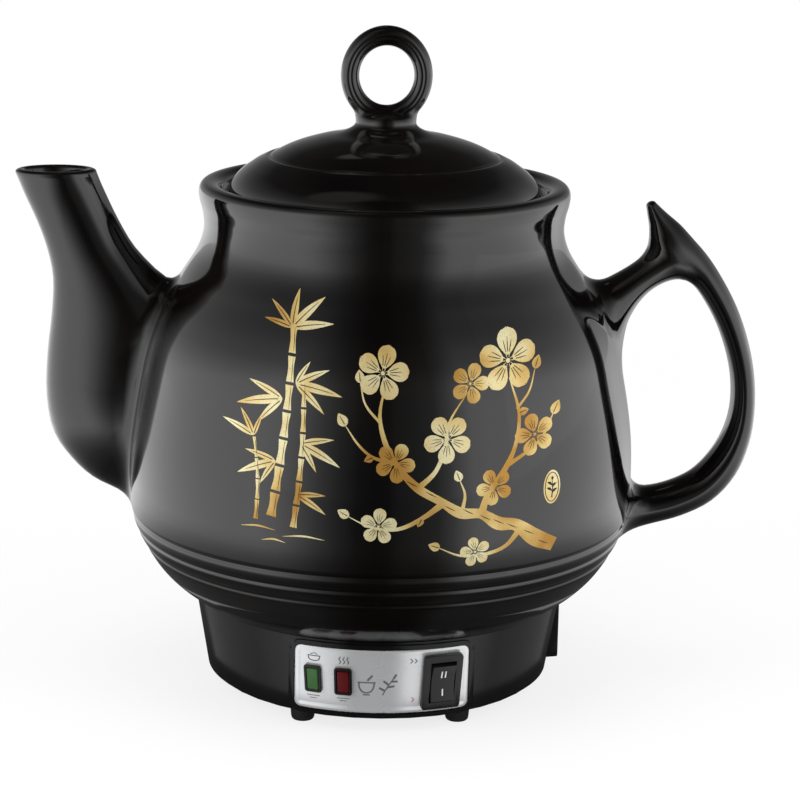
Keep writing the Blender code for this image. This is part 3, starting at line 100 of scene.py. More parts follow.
class Nodes:
    """The nodes of one material or world. An input is linked where it is given a socket, or else set."""

    def __init__(self, tree: bpy.types.NodeTree) -> None:
        """Keep the tree."""
        self.tree = tree

    def feed(self, node: bpy.types.Node, inputs: dict) -> bpy.types.Node:
        """Link or set a node's inputs.

        Args:
            node: The node.
            inputs: Input name or number to socket or value.

        Returns:
            The node.
        """
        for name, value in inputs.items():
            if isinstance(value, Socket):
                self.tree.links.new(value, node.inputs[name])
            else:
                node.inputs[name].default_value = value
        return node

    def add(self, kind: str, inputs: dict | None = None, **settings: object) -> bpy.types.Node:
        """Add one node.

        Args:
            kind: Its type name without "ShaderNode".
            inputs: Input name or number to socket or value.
            settings: Attributes of the node itself.

        Returns:
            The new node.
        """
        node = self.tree.nodes.new(f"ShaderNode{kind}")
        for name, value in settings.items():
            setattr(node, name, value)
        return self.feed(node, inputs or {})

    def shader(self, kind: str, inputs: dict | None = None) -> Socket:
        """Add a shader and give its output."""
        return self.add(kind, inputs).outputs[0]

    def place(self) -> Socket:
        """Object coordinates."""
        return self.add("TexCoord").outputs["Object"]

    def axes(self, vector: Socket) -> bpy.types.NodeOutputs:
        """X, Y and Z of a vector."""
        return self.add("SeparateXYZ", {0: vector}).outputs

    def calc(self, operation: str, *values: Socket | float) -> Socket:
        """Do one sum with numbers."""
        return self.add("Math", dict(enumerate(values)), operation=operation).outputs[0]

    def calc_vector(self, operation: str, *values: Socket | Row) -> bpy.types.NodeOutputs:
        """Do one sum with vectors."""
        return self.add("VectorMath", dict(enumerate(values)), operation=operation).outputs

    def noise(self, place: Socket, size_mm: float, detail: float = 2.0, roughness: float = 0.5) -> Socket:
        """Add noise of a size."""
        return self.add("TexNoise", {"Vector": place, "Scale": 1.0 / (size_mm * MM), "Detail": detail,
                                     "Roughness": roughness}).outputs["Fac"]

    def remap(self, value: Socket, start: Row, end: Row = (0.0, 1.0), kind: str = "LINEAR") -> Socket:
        """Map one range of values to another.

        Args:
            value: The value.
            start: Its range.
            end: What the range becomes.
            kind: How it runs from one end to the other.

        Returns:
            The new value.
        """
        return self.add("MapRange", {"Value": value, "From Min": start[0], "From Max": start[1], "To Min": end[0],
                                     "To Max": end[1]}, interpolation_type=kind).outputs["Result"]

    def mix(self, factor: Socket, first: object, second: object, kind: str = "RGBA") -> Socket:
        """Mix two colours, or two numbers."""
        return self.add("Mix", {"Factor": factor, "A": first, "B": second}, data_type=kind).outputs["Result"]

    def either(self, factor: Socket, first: Socket, second: Socket) -> Socket:
        """Mix two shaders."""
        return self.shader("MixShader", {0: factor, 1: first, 2: second})

    def bump(self, height: Socket, strength: float, height_mm: float, inputs: dict | None = None) -> Socket:
        """Turn a height into a normal."""
        return self.add("Bump", {"Height": height, "Strength": strength, "Distance": height_mm * MM,
                                 **(inputs or {})}).outputs["Normal"]

    def ramp(self, source: Socket, stops: Sequence[tuple[float, Sequence[float] | float]]) -> Socket:
        """Add a colour ramp with its stops.

        Args:
            source: The value that runs along the ramp.
            stops: Position of each stop, in order, and its linear colour or its grey.

        Returns:
            The ramp's colour.
        """
        ramp = self.add("ValToRGB", {"Fac": source})
        elements = ramp.color_ramp.elements
        while len(elements) < len(stops):
            elements.new(0.5)
        for element, (position, colour) in zip(elements, stops):
            element.position = position
            element.color = (colour, colour, colour, 1.0) if isinstance(colour, float) else colour
        return ramp.outputs["Color"]


# Finishes


@dataclass(frozen=True)
class Finish:
    """A surface finish: one Principled shader with procedural detail on Object coordinates.

    Attributes:
        name: The real material's name.
        slot: The record's material slot that it stands for. Not used.
        colour: sRGB hex of the ground colour.
        second: sRGB hex that the ground drifts towards in patches.
        roughness: Lowest roughness of the surface.
        roughness_span: How far the roughness rises in patches.
        patch_mm: Size of those patches.
        relief_mm: Wavelength of the surface's relief.
        relief_height_mm: Height of that relief.
        metallic: 1 for a bare metal.
        ior: Index of refraction, left at the default for metals.
        coat: Weight of a clear layer on top.
        coat_roughness: Roughness of that layer.
        stretch: How many times longer the relief is along each axis.
    """

    name: str
    slot: str
    colour: str
    second: str
    roughness: float = 0.4
    roughness_span: float = 0.08
    patch_mm: float = 12.0
    relief_mm: float = 0.6
    relief_height_mm: float = 0.01
    metallic: float = 0.0
    ior: float = 1.5
    coat: float = 0.0
    coat_roughness: float = 0.03
    stretch: Row = (1.0, 1.0, 1.0)

    @property
    def shades(self) -> tuple[Sequence[float], Sequence[float]]:
        """Ground and second colour, linear."""
        return linear(self.colour), linear(self.second)

    @property
    def roughnesses(self) -> Row:
        """Lowest and highest roughness."""
        return self.roughness, self.roughness + self.roughness_span

    def material(self) -> bpy.types.Material:
        """Find this finish's material, or build it on first use."""
        return bpy.data.materials.get(self.name) or self.build()

    def build(self) -> bpy.types.Material:
        """Build the material.

        Returns:
            The new material, named for the finish.
        """
        material = bpy.data.materials.new(self.name)
        material.use_nodes = True
        nodes = Nodes(material.node_tree)
        inputs = {"Metallic": self.metallic, "Coat Weight": self.coat, "Coat Roughness": self.coat_roughness}
        if self.metallic < 1.0:
            inputs["IOR"] = self.ior
        nodes.feed(material.node_tree.nodes["Principled BSDF"], {**inputs, **self.dress(nodes, nodes.place())})
        return material

    def dress(self, nodes: Nodes, place: Socket) -> dict:
        """Work out colour, roughness and relief.

        Args:
            nodes: The material's nodes.
            place: Object coordinates.

        Returns:
            Inputs of the Principled shader.
        """
        patches = nodes.noise(place, self.patch_mm, 3.0)
        scale = [1.0 / (self.relief_mm * MM * along) for along in self.stretch]
        grain = nodes.noise(nodes.add("Mapping", {"Vector": place, "Scale": scale}).outputs["Vector"], 1.0 / MM)
        return {"Base Color": nodes.mix(patches, *self.shades),
                "Roughness": nodes.remap(patches, (0.3, 0.7), self.roughnesses),
                "Normal": nodes.bump(grain, 1.0, self.relief_height_mm)}


@dataclass(frozen=True)
class MirrorGlaze(Finish):
    """Iron-black stoneware glaze: wet gloss, slow waves from the firing, a few pinholes.

    Attributes:
        wave_mm: Length of the glaze's slow waves.
        wave_height_mm: Their height.
        pinhole_mm: Mean distance between pinholes.
        pinhole_share: Radius of a pinhole as a share of that distance.
        pinhole_depth_mm: Depth of a pinhole.
        wiped_mm: Heights between which the wiped foot ring turns into the full glaze.
        wiped_dull: How much rougher the wiped glaze is.
    """

    wave_mm: float = 34.0
    wave_height_mm: float = 0.035
    pinhole_mm: float = 9.0
    pinhole_share: float = 0.025
    pinhole_depth_mm: float = 0.02
    wiped_mm: Row = (45.0, 53.0)
    wiped_dull: float = 0.12

    def dress(self, nodes: Nodes, place: Socket) -> dict:
        """Work out the glaze's depth, waves and pinholes, as Finish.dress does."""
        pool = nodes.noise(place, self.patch_mm, 4.0, 0.55)
        slow = nodes.bump(nodes.noise(place, self.wave_mm, 1.0), 1.0, self.wave_height_mm)
        cells = nodes.add("TexVoronoi", {"Vector": place, "Scale": 1.0 / (self.pinhole_mm * MM)}).outputs["Distance"]
        pit = nodes.remap(cells, (0.0, self.pinhole_share), kind="SMOOTHSTEP")
        # Near the foot ring the glaze is wiped thin, so the clear layer ends there
        low, high = self.wiped_mm
        gloss = nodes.remap(nodes.axes(place)["Z"], (low * MM, high * MM), (0.0, self.coat), "SMOOTHSTEP")
        rough = nodes.remap(pool, (0.35, 0.7), [value + self.wiped_dull for value in self.roughnesses])
        # The black thins to a warm brown where the glaze ran, as iron glazes do
        return {"Base Color": nodes.ramp(pool, tuple(zip((0.35, 0.75), self.shades))),
                "Roughness": nodes.calc("MULTIPLY_ADD", gloss, -self.wiped_dull, rough),
                "Coat Weight": gloss, "Coat Normal": slow,
                "Normal": nodes.bump(pit, 0.5, self.pinhole_depth_mm, {"Normal": slow})}


@dataclass(frozen=True)
class GoldTransfer(Finish):
    """Fired gold transfer on the glaze: satin, warmer and duller where the film is thin.

    Attributes:
        pale: sRGB hex of the film where it is thickest.
        worn: Greatest share of the deep gold in a worn speck.
    """

    pale: str = "#fbf2c2"
    worn: float = 0.6

    def dress(self, nodes: Nodes, place: Socket) -> dict:
        """Work out the film's drift from pale to deep gold, as Finish.dress does."""
        speck = nodes.noise(place, self.relief_mm)
        colour, second = self.shades
        film = nodes.ramp(nodes.noise(place, self.patch_mm), (
            (0.36, second), (0.48, colour), (0.62, linear(self.pale))))
        return {"Base Color": nodes.mix(nodes.remap(speck, (0.56, 0.72), (0.0, self.worn)), film, second),
                "Roughness": nodes.remap(speck, (0.0, 1.0), self.roughnesses),
                "Normal": nodes.bump(speck, 0.6, self.relief_height_mm)}


@dataclass(frozen=True)
class ClearLens(Finish):
    """Dyed SAN lens of an indicator: glossy, a little see-through, with fine cross prisms inside.

    Attributes:
        prism_mm: Pitch of the prisms.
        glow: Share of light that passes.
    """

    prism_mm: float = 0.8
    glow: float = 0.25

    def dress(self, nodes: Nodes, place: Socket) -> dict:
        """Work out the dye and the prisms, as Finish.dress does."""
        # A wave texture of scale s repeats every pi / 10 s
        lines = nodes.add("TexWave", {"Vector": place, "Scale": math.pi / (10.0 * self.prism_mm * MM)},
                          bands_direction="Z").outputs["Fac"]
        return {"Base Color": nodes.mix(nodes.noise(place, self.patch_mm), *self.shades),
                "Roughness": self.roughness, "Transmission Weight": self.glow,
                "Normal": nodes.bump(lines, 0.5, self.relief_height_mm)}


# Mirror-black stoneware glaze: fired glass over a dark body, so reflections are sharp and deep
GLAZE = MirrorGlaze("iron_black_stoneware_glaze", "black_glaze", "#050404", "#0c0907", roughness=0.07,
                    roughness_span=0.05, patch_mm=46.0, ior=1.58, coat=1.0)
# Gold transfer: satin film with metal in it, a little worn
GOLD = GoldTransfer("fired_gold_transfer", "black_glaze", "#e6c981", "#bf8f43", roughness=0.36, roughness_span=0.12,
                    patch_mm=26.0, relief_mm=0.5, relief_height_mm=0.012, metallic=0.6)
# Black enamel lines over the gold: thin and glossy, as fine as a brush hair
BLACK_LINE = Finish("black_overglaze_enamel", "black_glaze", "#0a0705", "#1a120c", roughness=0.22, roughness_span=0.1,
                    patch_mm=3.0, relief_mm=0.4, relief_height_mm=0.004)
# Injection-moulded ABS with a polished tool: satin gloss with faint flow
ABS_BLACK = Finish("polished_black_abs", "black_plastic", "#0c0c0d", "#131314", roughness=0.16, roughness_span=0.08,
                   patch_mm=28.0, relief_mm=1.6, relief_height_mm=0.006, ior=1.43)
# The same ABS on hidden faces, with a spark-eroded texture
ABS_TEXTURED = Finish("textured_black_abs", "black_plastic", "#121213", "#1a1a1b", roughness=0.46, patch_mm=20.0,
                      relief_mm=0.7, relief_height_mm=0.03, ior=1.54)
# Nylon of switch, lamp frames and inlet: fine satin
NYLON_BLACK = Finish("black_switch_nylon", "switch_plastic", "#0b0b0c", "#141416", roughness=0.30, roughness_span=0.12,
                     patch_mm=7.0, relief_mm=0.35, relief_height_mm=0.008, ior=1.53)
# Bare aluminium, brushed lengthways under a clear lacquer: bright, with fine lines along X
BRUSHED_PLATE = Finish("brushed_lacquered_aluminium", "brushed_aluminium", "#f4f5f6", "#e2e3e5", roughness=0.25,
                       roughness_span=0.04, patch_mm=16.0, relief_mm=1.1, relief_height_mm=0.0015, metallic=0.62,
                       coat=0.1, coat_roughness=0.12, stretch=(60.0, 60.0, 1.0))
# Die-cast aluminium: dull, slightly grainy
CAST_PLATE = Finish("die_cast_aluminium", "cast_aluminium", "#9a9b9d", "#84868a", roughness=0.50, patch_mm=9.0,
                    relief_mm=0.9, relief_height_mm=0.05, metallic=1.0)
# Stainless and zinc-plated steel: bright, faint handling marks
BRIGHT_STEEL = Finish("zinc_plated_steel", "bright_steel", "#b9bbbd", "#a3a6a8", roughness=0.26, roughness_span=0.16,
                      patch_mm=5.0, relief_mm=0.5, relief_height_mm=0.006, metallic=1.0)
# Nickel-plated brass of pins and tabs: warm grey, slightly dull
PLATED_BRASS = Finish("nickel_plated_brass", "plated_brass", "#c8b98c", "#b5a36f", roughness=0.28, patch_mm=4.0,
                      relief_mm=0.4, relief_height_mm=0.004, metallic=1.0)
# Moulded rubber of the feet: matt, a little dusty
FOOT_RUBBER = Finish("moulded_black_rubber", "black_rubber", "#101010", "#1c1b1a", roughness=0.72, patch_mm=4.0,
                     relief_mm=0.45, relief_height_mm=0.03, ior=1.52)
# Heat-proof silicone seal: dark grey, soft sheen
SEAL_SILICONE = Finish("grey_silicone_rubber", "grey_silicone", "#2b2b2c", "#353536", roughness=0.55, patch_mm=8.0,
                       relief_mm=0.8, relief_height_mm=0.01, ior=1.43)
# Phenolic moulding: brown, dull gloss with filler specks
PHENOLIC = Finish("brown_phenolic", "brown_phenolic", "#2e1a12", "#3d2418", roughness=0.38, patch_mm=2.0,
                  relief_mm=0.5, relief_height_mm=0.01, ior=1.63)
# Paper laminate of the lamp board: tan, faint fibres
BOARD_PAPER = Finish("phenolic_paper_board", "circuit_board", "#a8763c", "#8f6230", roughness=0.50, patch_mm=1.5,
                     relief_mm=0.3, relief_height_mm=0.01, stretch=(6.0, 6.0, 1.0))
GREEN_LENS = ClearLens("green_san_lens", "green_lens", "#3f6b38", "#2f5529", roughness=0.34, patch_mm=5.0,
                       relief_height_mm=0.02, ior=1.38, glow=0.08)
RED_LENS = ClearLens("red_san_lens", "red_lens", "#62030a", "#470105", roughness=0.34, patch_mm=5.0,
                     relief_height_mm=0.02, ior=1.38, glow=0.08)
NEON_GLASS = ClearLens("neon_lamp_glass", "neon_glass", "#d9b9a0", "#c9a890", roughness=0.08, patch_mm=2.0,
                       relief_height_mm=0.002, glow=0.7)
# Pad-printed ink: flat, slightly uneven film
WHITE_INK = Finish("white_pad_print", "switch_plastic", "#dcdcda", "#c4c4c2", roughness=0.55, patch_mm=1.2,
                   relief_mm=0.3, relief_height_mm=0.004)
GREY_INK = Finish("grey_screen_print", "brushed_aluminium", "#4a4b4d", "#5c5d5f", roughness=0.60, patch_mm=1.0,
                  relief_mm=0.3, relief_height_mm=0.003)
RED_INK = Finish("red_screen_print", "brushed_aluminium", "#a8525c", "#b4646c", roughness=0.60, patch_mm=1.0,
                 relief_mm=0.3, relief_height_mm=0.003)


# Shapes


def fair_curve(rows: Sequence[Row], per_span: int) -> np.ndarray:
    """Run a fair curve through rows of numbers (centripetal Catmull-Rom on each column).

    Args:
        rows: Points, or sections given as rows of equal length.
        per_span: Steps between two rows.

    Returns:
        The rows of the fair curve, the first and last row included.
    """
    knots = np.array(rows, float)
    ends = np.vstack([2 * knots[0] - knots[1], knots, 2 * knots[-1] - knots[-2]])
    out = []
    for a, b, c, d in zip(ends, ends[1:], ends[2:], ends[3:]):
        t1, t2, t3 = np.cumsum([max(np.linalg.norm(step), TINY) ** 0.5 for step in (b - a, c - b, d - c)])
        for t in np.linspace(t1, t2, per_span, endpoint=False):
            a1 = (t1 - t) / t1 * a + t / t1 * b
            a2 = (t2 - t) / (t2 - t1) * b + (t - t1) / (t2 - t1) * c
            a3 = (t3 - t) / (t3 - t2) * c + (t - t2) / (t3 - t2) * d
            b1 = (t2 - t) / t2 * a1 + t / t2 * a2
            b2 = (t3 - t) / (t3 - t1) * a2 + (t - t1) / (t3 - t1) * a3
            out.append((t2 - t) / (t2 - t1) * b1 + (t - t1) / (t2 - t1) * b2)
    return np.vstack(out + [knots[-1]])


def spin_profile(shape: bmesh.types.BMesh, points: Iterable[Sequence[float]], steps: int,
                 closed: bool = False, axis: Axis = Axis.Z) -> None:
    """Spin a profile fully round an axis through the origin.

    Args:
        shape: The bmesh that it goes into.
        points: Radius and height of each point, in metres.
        steps: Steps of the turn.
        closed: Whether the last point joins the first.
        axis: The axis.
    """
    up, out = (Vector(way) for way in axis.value)
    verts = [shape.verts.new(out * radius + up * height) for radius, height in points]
    pairs = list(zip(verts, verts[1:])) + ([(verts[-1], verts[0])] if closed else [])
    edges = [shape.edges.new(pair) for pair in pairs]
    bmesh.ops.spin(shape, geom=verts + edges, cent=(0.0, 0.0, 0.0), axis=up, angle=math.tau, steps=steps,
                   use_merge=True, use_normal_flip=False, use_duplicate=False)
    bmesh.ops.remove_doubles(shape, verts=shape.verts, dist=WELD)
    bmesh.ops.recalc_face_normals(shape, faces=shape.faces)


@dataclass
class Section:
    """One oval section of a lofted piece.

    Attributes:
        centre: Its middle.
        across: Half its width, as a vector.
        deep: Half its depth, as a vector.
    """

    centre: Vector
    across: Vector
    deep: Vector

    def matrix(self) -> Matrix:
        """Placement that turns a unit circle into this oval."""
        columns = Matrix((self.across, self.deep, self.across.cross(self.deep).normalized())).transposed()
        return Matrix.Translation(self.centre) @ columns.to_4x4()


def loft(shape: bmesh.types.BMesh, sections: Sequence[Section], sides: int) -> None:
    """Bridge a row of ovals and close both ends.

    Args:
        shape: The bmesh that it goes into.
        sections: The ovals, in order.
        sides: Sides of each oval.
    """
    rings = []
    for section in sections:
        made = bmesh.ops.create_circle(shape, cap_ends=False, radius=1.0, segments=sides, matrix=section.matrix())
        rings.append(list(dict.fromkeys(edge for vert in made["verts"] for edge in vert.link_edges)))
    for near, far in zip(rings, rings[1:]):
        bmesh.ops.bridge_loops(shape, edges=near + far)
    for end in (rings[0], rings[-1]):
        bmesh.ops.edgeloop_fill(shape, edges=end)
    bmesh.ops.recalc_face_normals(shape, faces=shape.faces)


def patch(shape: bmesh.types.BMesh, along: int, across: int, place: Callable[[float, float], Vector]) -> None:
    """Lay a grid out through a function of its two shares, each 0 to 1.

    Args:
        shape: The bmesh that it goes into.
        along: Steps the first way.
        across: Steps the second way.
        place: Where a pair of shares goes.
    """
    made = bmesh.ops.create_grid(shape, x_segments=along, y_segments=across, size=0.5)
    for vert in made["verts"]:
        vert.co = place(vert.co.x + 0.5, vert.co.y + 0.5)


def ribbon(shape: bmesh.types.BMesh, rows: Sequence[Row], steps: int, lay: Callable[[float, float], Vector]) -> None:
    """Lay a ribbon along a line of the front view.

    Args:
        shape: The bmesh that it goes into.
        rows: Across, up and width at each of its points, in millimetres.
        steps: Steps across it.
        lay: Where a place of the front view goes.
    """
    count = len(rows) - 1

    def place(along: float, across: float) -> Vector:
        number = min(int(round(along * count)), count)
        x, z, width = rows[number]
        after, before = rows[min(number + 1, count)], rows[max(number - 1, 0)]
        run, rise = after[0] - before[0], after[1] - before[1]
        length = max(math.hypot(run, rise), 1e-6)
        shift = (across - 0.5) * max(width, THINNEST_LINE)
        return lay(x - rise / length * shift, z + run / length * shift)

    patch(shape, count, steps, place)


def on_round(across: float, up: float, radius: float) -> Vector:
    """Lay a place of the front view on a round body.

    Args:
        across: Millimetres along X.
        up: Millimetres above the table.
        radius: The body's radius there, in metres.

    Returns:
        The point.
    """
    side = across * MM
    return Vector((side, -math.sqrt(max(radius * radius - side * side, TINY)), up * MM))


def set_radius(vert: bmesh.types.BMVert, radius: float) -> None:
    """Move a vertex straight out or in to a radius."""
    scale = radius / math.hypot(vert.co.x, vert.co.y)
    vert.co.x *= scale
    vert.co.y *= scale


def turn_faces(shape: bmesh.types.BMesh, away: Callable[[Vector], Vector]) -> None:
    """Turn the faces that face the wrong way.

    Args:
        shape: The shape.
        away: The direction that a face should face, for its middle.
    """
    for face in shape.faces:
        face.normal_update()
        if face.normal.dot(away(face.calc_center_median())) < 0.0:
            face.normal_flip()


def make_piece(name: str, shape: bmesh.types.BMesh, finish: Finish, body: Body, nodes: Sequence[str] = (),
               crease: float = 38.0, normals: dict[int, Vector] | None = None) -> bpy.types.Object:
    """Turn a bmesh into a piece of the object.

    Args:
        name: The piece's name.
        shape: Its shape, which is freed.
        finish: Its finish.
        body: The CAD body that it rides on.
        nodes: CAD nodes that it stands for.
        crease: Angle in degrees above which an edge stays sharp.
        normals: Exact normals of some vertices.

    Returns:
        The new object.
    """
    mesh = bpy.data.meshes.new(name)
    shape.to_mesh(mesh)
    shape.free()
    mesh.materials.append(finish.material())
    mesh.shade_smooth()
    mesh.set_sharp_from_angle(angle=math.radians(crease))
    if normals:
        zero = Vector((0.0, 0.0, 0.0))
        mesh.normals_split_custom_set([normals.get(loop.vertex_index, zero) for loop in mesh.loops])
    item = bpy.data.objects.new(name, mesh)
    bpy.context.scene.collection.objects.link(item)
    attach(item, body.value)
    if nodes:
        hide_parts(*nodes)
    LOG.info("%s: %d faces on %s", name, len(mesh.polygons), body.value)
    return item


def node_shape(node: str) -> bmesh.types.BMesh:
    """Copy a CAD node's mesh, merged into a closed shape.

    Args:
        node: The node's name.

    Returns:
        The copy.
    """
    shape = bmesh.new()
    shape.from_mesh(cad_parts[node].data)
    bmesh.ops.remove_doubles(shape, verts=shape.verts, dist=WELD)
    bmesh.ops.dissolve_limit(shape, angle_limit=math.radians(1.0), verts=shape.verts, edges=shape.edges)
    return shape


def round_node(node: str, name: str, finish: Finish, width: float, segments: int = 2, corner: float = 50.0,
               body: Body = Body.POT) -> None:
    """Round a CAD node's sharp edges, and give it its finish.

    Args:
        node: The node that the piece stands for.
        name: The piece's name.
        finish: Its finish.
        width: Width of the rounding, in millimetres.
        segments: Its steps.
        corner: Least angle in degrees of an edge that is rounded.
        body: The CAD body that it rides on.
    """
    shape = node_shape(node)
    edges = [edge for edge in shape.edges if len(edge.link_faces) == 2
             and edge.calc_face_angle(0.0) > math.radians(corner)]
    bmesh.ops.bevel(shape, geom=edges, offset=width * MM, offset_type="OFFSET", segments=segments, profile=0.5,
                    affect="EDGES", clamp_overlap=True, material=-1)
    make_piece(name, shape, finish, body, [node])


# Distance fields, for fillets between the fired parts


class Field:
    """A distance to a surface, with the direction in which it grows."""

    def at(self, point: Vector) -> tuple[float, Vector]:
        """Signed distance and outward direction at a point.

        Args:
            point: The point.

        Returns:
            Distance, negative inside, and the unit direction.
        """
        raise NotImplementedError


class TurnedField(Field):
    """Distance to a turned surface, measured square to its outline."""

    slope_step = 0.6 * MM

    def __init__(self, outline: np.ndarray) -> None:
        """Keep the outline.

        Args:
            outline: Radius and height of its points, upwards.
        """
        self.heights = outline[:, 1]
        self.radii = outline[:, 0]

    def radius(self, height: float) -> float:
        """Radius of the outline at a height."""
        return float(np.interp(height, self.heights, self.radii))

    def at(self, point: Vector) -> tuple[float, Vector]:
        """Signed distance and outward direction at a point, as Field says."""
        step = self.slope_step
        slope = (self.radius(point.z + step) - self.radius(point.z - step)) / (2 * step)
        lean = 1.0 / math.hypot(1.0, slope)
        out = max(math.hypot(point.x, point.y), TINY)
        away = Vector((point.x / out * lean, point.y / out * lean, -slope * lean))
        return (out - self.radius(point.z)) * lean, away


class MeshField(Field):
    """Distance to a closed mesh, with its smooth normals."""

    def __init__(self, shape: bmesh.types.BMesh) -> None:
        """Keep a search tree and the normals of a shape.

        Args:
            shape: The closed shape.
        """
        copy = shape.copy()
        bmesh.ops.triangulate(copy, faces=copy.faces)
        copy.verts.ensure_lookup_table()
        copy.faces.ensure_lookup_table()
        self.corners = [[vert.co.copy() for vert in face.verts] for face in copy.faces]
        self.normals = [[vert.normal.copy() for vert in face.verts] for face in copy.faces]
        self.tree = BVHTree.FromBMesh(copy)
        copy.free()

    def at(self, point: Vector) -> tuple[float, Vector]:
        """Signed distance and outward direction at a point, as Field says."""
        near, flat, index, distance = self.tree.find_nearest(point)
        side = 1.0 if (point - near).dot(flat) >= 0.0 else -1.0
        a, b, c = self.corners[index]
        area = max((b - a).cross(c - a).length, 1e-14)
        shares = [(one - near).cross(other - near).length / area for one, other in ((b, c), (c, a), (a, b))]
        away = sum((normal * share for normal, share in zip(self.normals[index], shares)), Vector())
        return side * distance, away.normalized()


def merged(fields: Sequence[Field], point: Vector, reach: float) -> tuple[float, Vector]:
    """Distance to several surfaces joined by a fillet.

    Args:
        fields: The surfaces.
        point: The point.
        reach: How far the fillet reaches along each surface.

    Returns:
        Distance to the joined surface, and its direction.
    """
    distance, away = fields[0].at(point)
    for other in fields[1:]:
        second, direction = other.at(point)
        share = min(max(0.5 + 0.5 * (second - distance) / reach, 0.0), 1.0)
        away = (direction * (1.0 - share) + away * share)
        distance = second * (1.0 - share) + distance * share - reach * share * (1.0 - share)
    return distance, away


def fillet(shape: bmesh.types.BMesh, own: Field, others: Sequence[Field], reach: float) -> dict[int, Vector]:
    """Move the vertices near the other surfaces onto the fillet between them.

    Args:
        shape: The shape, whose vertices lie on its own surface.
        own: Its own surface.
        others: The surfaces that it meets.
        reach: How far the fillet reaches.

    Returns:
        Exact normals by vertex number, near the joint.
    """
    fields = [own, *others]
    normals = {}
    shape.verts.index_update()
    for vert in shape.verts:
        if abs(own.at(vert.co)[0]) > ON_SURFACE:
            continue
        nearest = min(other.at(vert.co)[0] for other in others)
        if -INSIDE_SHARE * reach < nearest < reach:
            normals[vert.index] = drop_on(fields, vert, reach)
    # Faces that the move folded over are relaxed along the fillet, and the flattest state is kept
    fewest, flattest = len(shape.verts) + 1, {}
    for _ in range(RELAXING_ROUNDS):
        shape.normal_update()
        folded = {vert for face in shape.faces if all(vert.index in normals for vert in face.verts)
                  and face.normal.dot(sum((normals[vert.index] for vert in face.verts), Vector())) < FOLD_LIMIT
                  for vert in face.verts}
        if len(folded) < fewest:
            fewest = len(folded)
            flattest = {vert: (vert.co.copy(), normals[vert.index]) for vert in shape.verts if vert.index in normals}
        if not folded:
            break
        for vert in sorted(folded, key=lambda vert: vert.index):
            near = [edge.other_vert(vert).co for edge in vert.link_edges]
            vert.co = vert.co.lerp(sum(near, Vector()) / len(near), 0.5)
            normals[vert.index] = drop_on(fields, vert, reach)
    for vert, (place, normal) in flattest.items():
        vert.co, normals[vert.index] = place, normal
    return normals


def drop_on(fields: Sequence[Field], vert: bmesh.types.BMVert, reach: float) -> Vector:
    """Move a vertex onto the merged surface.

    Args:
        fields: The surfaces.
        vert: The vertex.
        reach: How far the fillet reaches.

    Returns:
        The surface's normal there.
    """
    for _ in range(DROP_ROUNDS):
        distance, away = merged(fields, vert.co, reach)
        vert.co -= away * (distance / max(away.length_squared, LEAST_SLOPE))
    return merged(fields, vert.co, reach)[1].normalized()


def trim_inside(shape: bmesh.types.BMesh, wall: Field, depth: float) -> None:
    """Cut away what lies deeper than a depth inside a wall, and close the cut there.

    One open rim is capped. Two, as a tube has, are bridged, so that the tube's bore stays open.

    Args:
        shape: The shape.
        wall: The wall's outer surface.
        depth: How deep the cut lies.
    """
    deep = {vert for vert in shape.verts if wall.at(vert.co)[0] < -depth}
    gone = [face for face in shape.faces if all(vert in deep for vert in face.verts)]
    bmesh.ops.delete(shape, geom=gone, context="FACES")
    for vert in deep:
        if vert.is_valid:
            for _ in range(TRIM_ROUNDS):
                distance, away = wall.at(vert.co)
                vert.co -= away * (distance + depth)
    rims = [edge for edge in shape.edges if edge.is_boundary]
    if count_runs(rims) == 1:
        bmesh.ops.contextual_create(shape, geom=rims)
    else:
        bmesh.ops.bridge_loops(shape, edges=rims)
    bmesh.ops.triangulate(shape, faces=[face for face in shape.faces if len(face.verts) > 4])


def count_runs(edges: Iterable[bmesh.types.BMEdge]) -> int:
    """Count the joined runs of edges.

    Args:
        edges: The edges.

    Returns:
        How many runs they make.
    """
    left, runs = set(edges), 0
    while left:
        reached = [left.pop()]
        runs += 1
        while reached:
            near = {edge for vert in reached.pop().verts for edge in vert.link_edges} & left
            left -= near
            reached.extend(near)
    return runs


def cut_out(shape: bmesh.types.BMesh, cutter: bmesh.types.BMesh) -> bmesh.types.BMesh:
    """Cut one shape out of another.

    Args:
        shape: The shape, which is freed.
        cutter: What is cut out of it, which is freed.

    Returns:
        What is left.
    """
    items = []
    for name, part in (("cut_shape", shape), ("cut_tool", cutter)):
        mesh = bpy.data.meshes.new(name)
        part.to_mesh(mesh)
        part.free()
        item = bpy.data.objects.new(name, mesh)
        bpy.context.scene.collection.objects.link(item)
        items.append(item)
    boolean = items[0].modifiers.new("cut", "BOOLEAN")
    boolean.operation, boolean.solver, boolean.object = "DIFFERENCE", "EXACT", items[1]
    done = items[0].evaluated_get(bpy.context.evaluated_depsgraph_get())
    left = bmesh.new()
    left.from_mesh(done.to_mesh())
    done.to_mesh_clear()
    for item in items:
        mesh = item.data
        bpy.data.objects.remove(item)
        bpy.data.meshes.remove(mesh)
    return left


# The fired pot


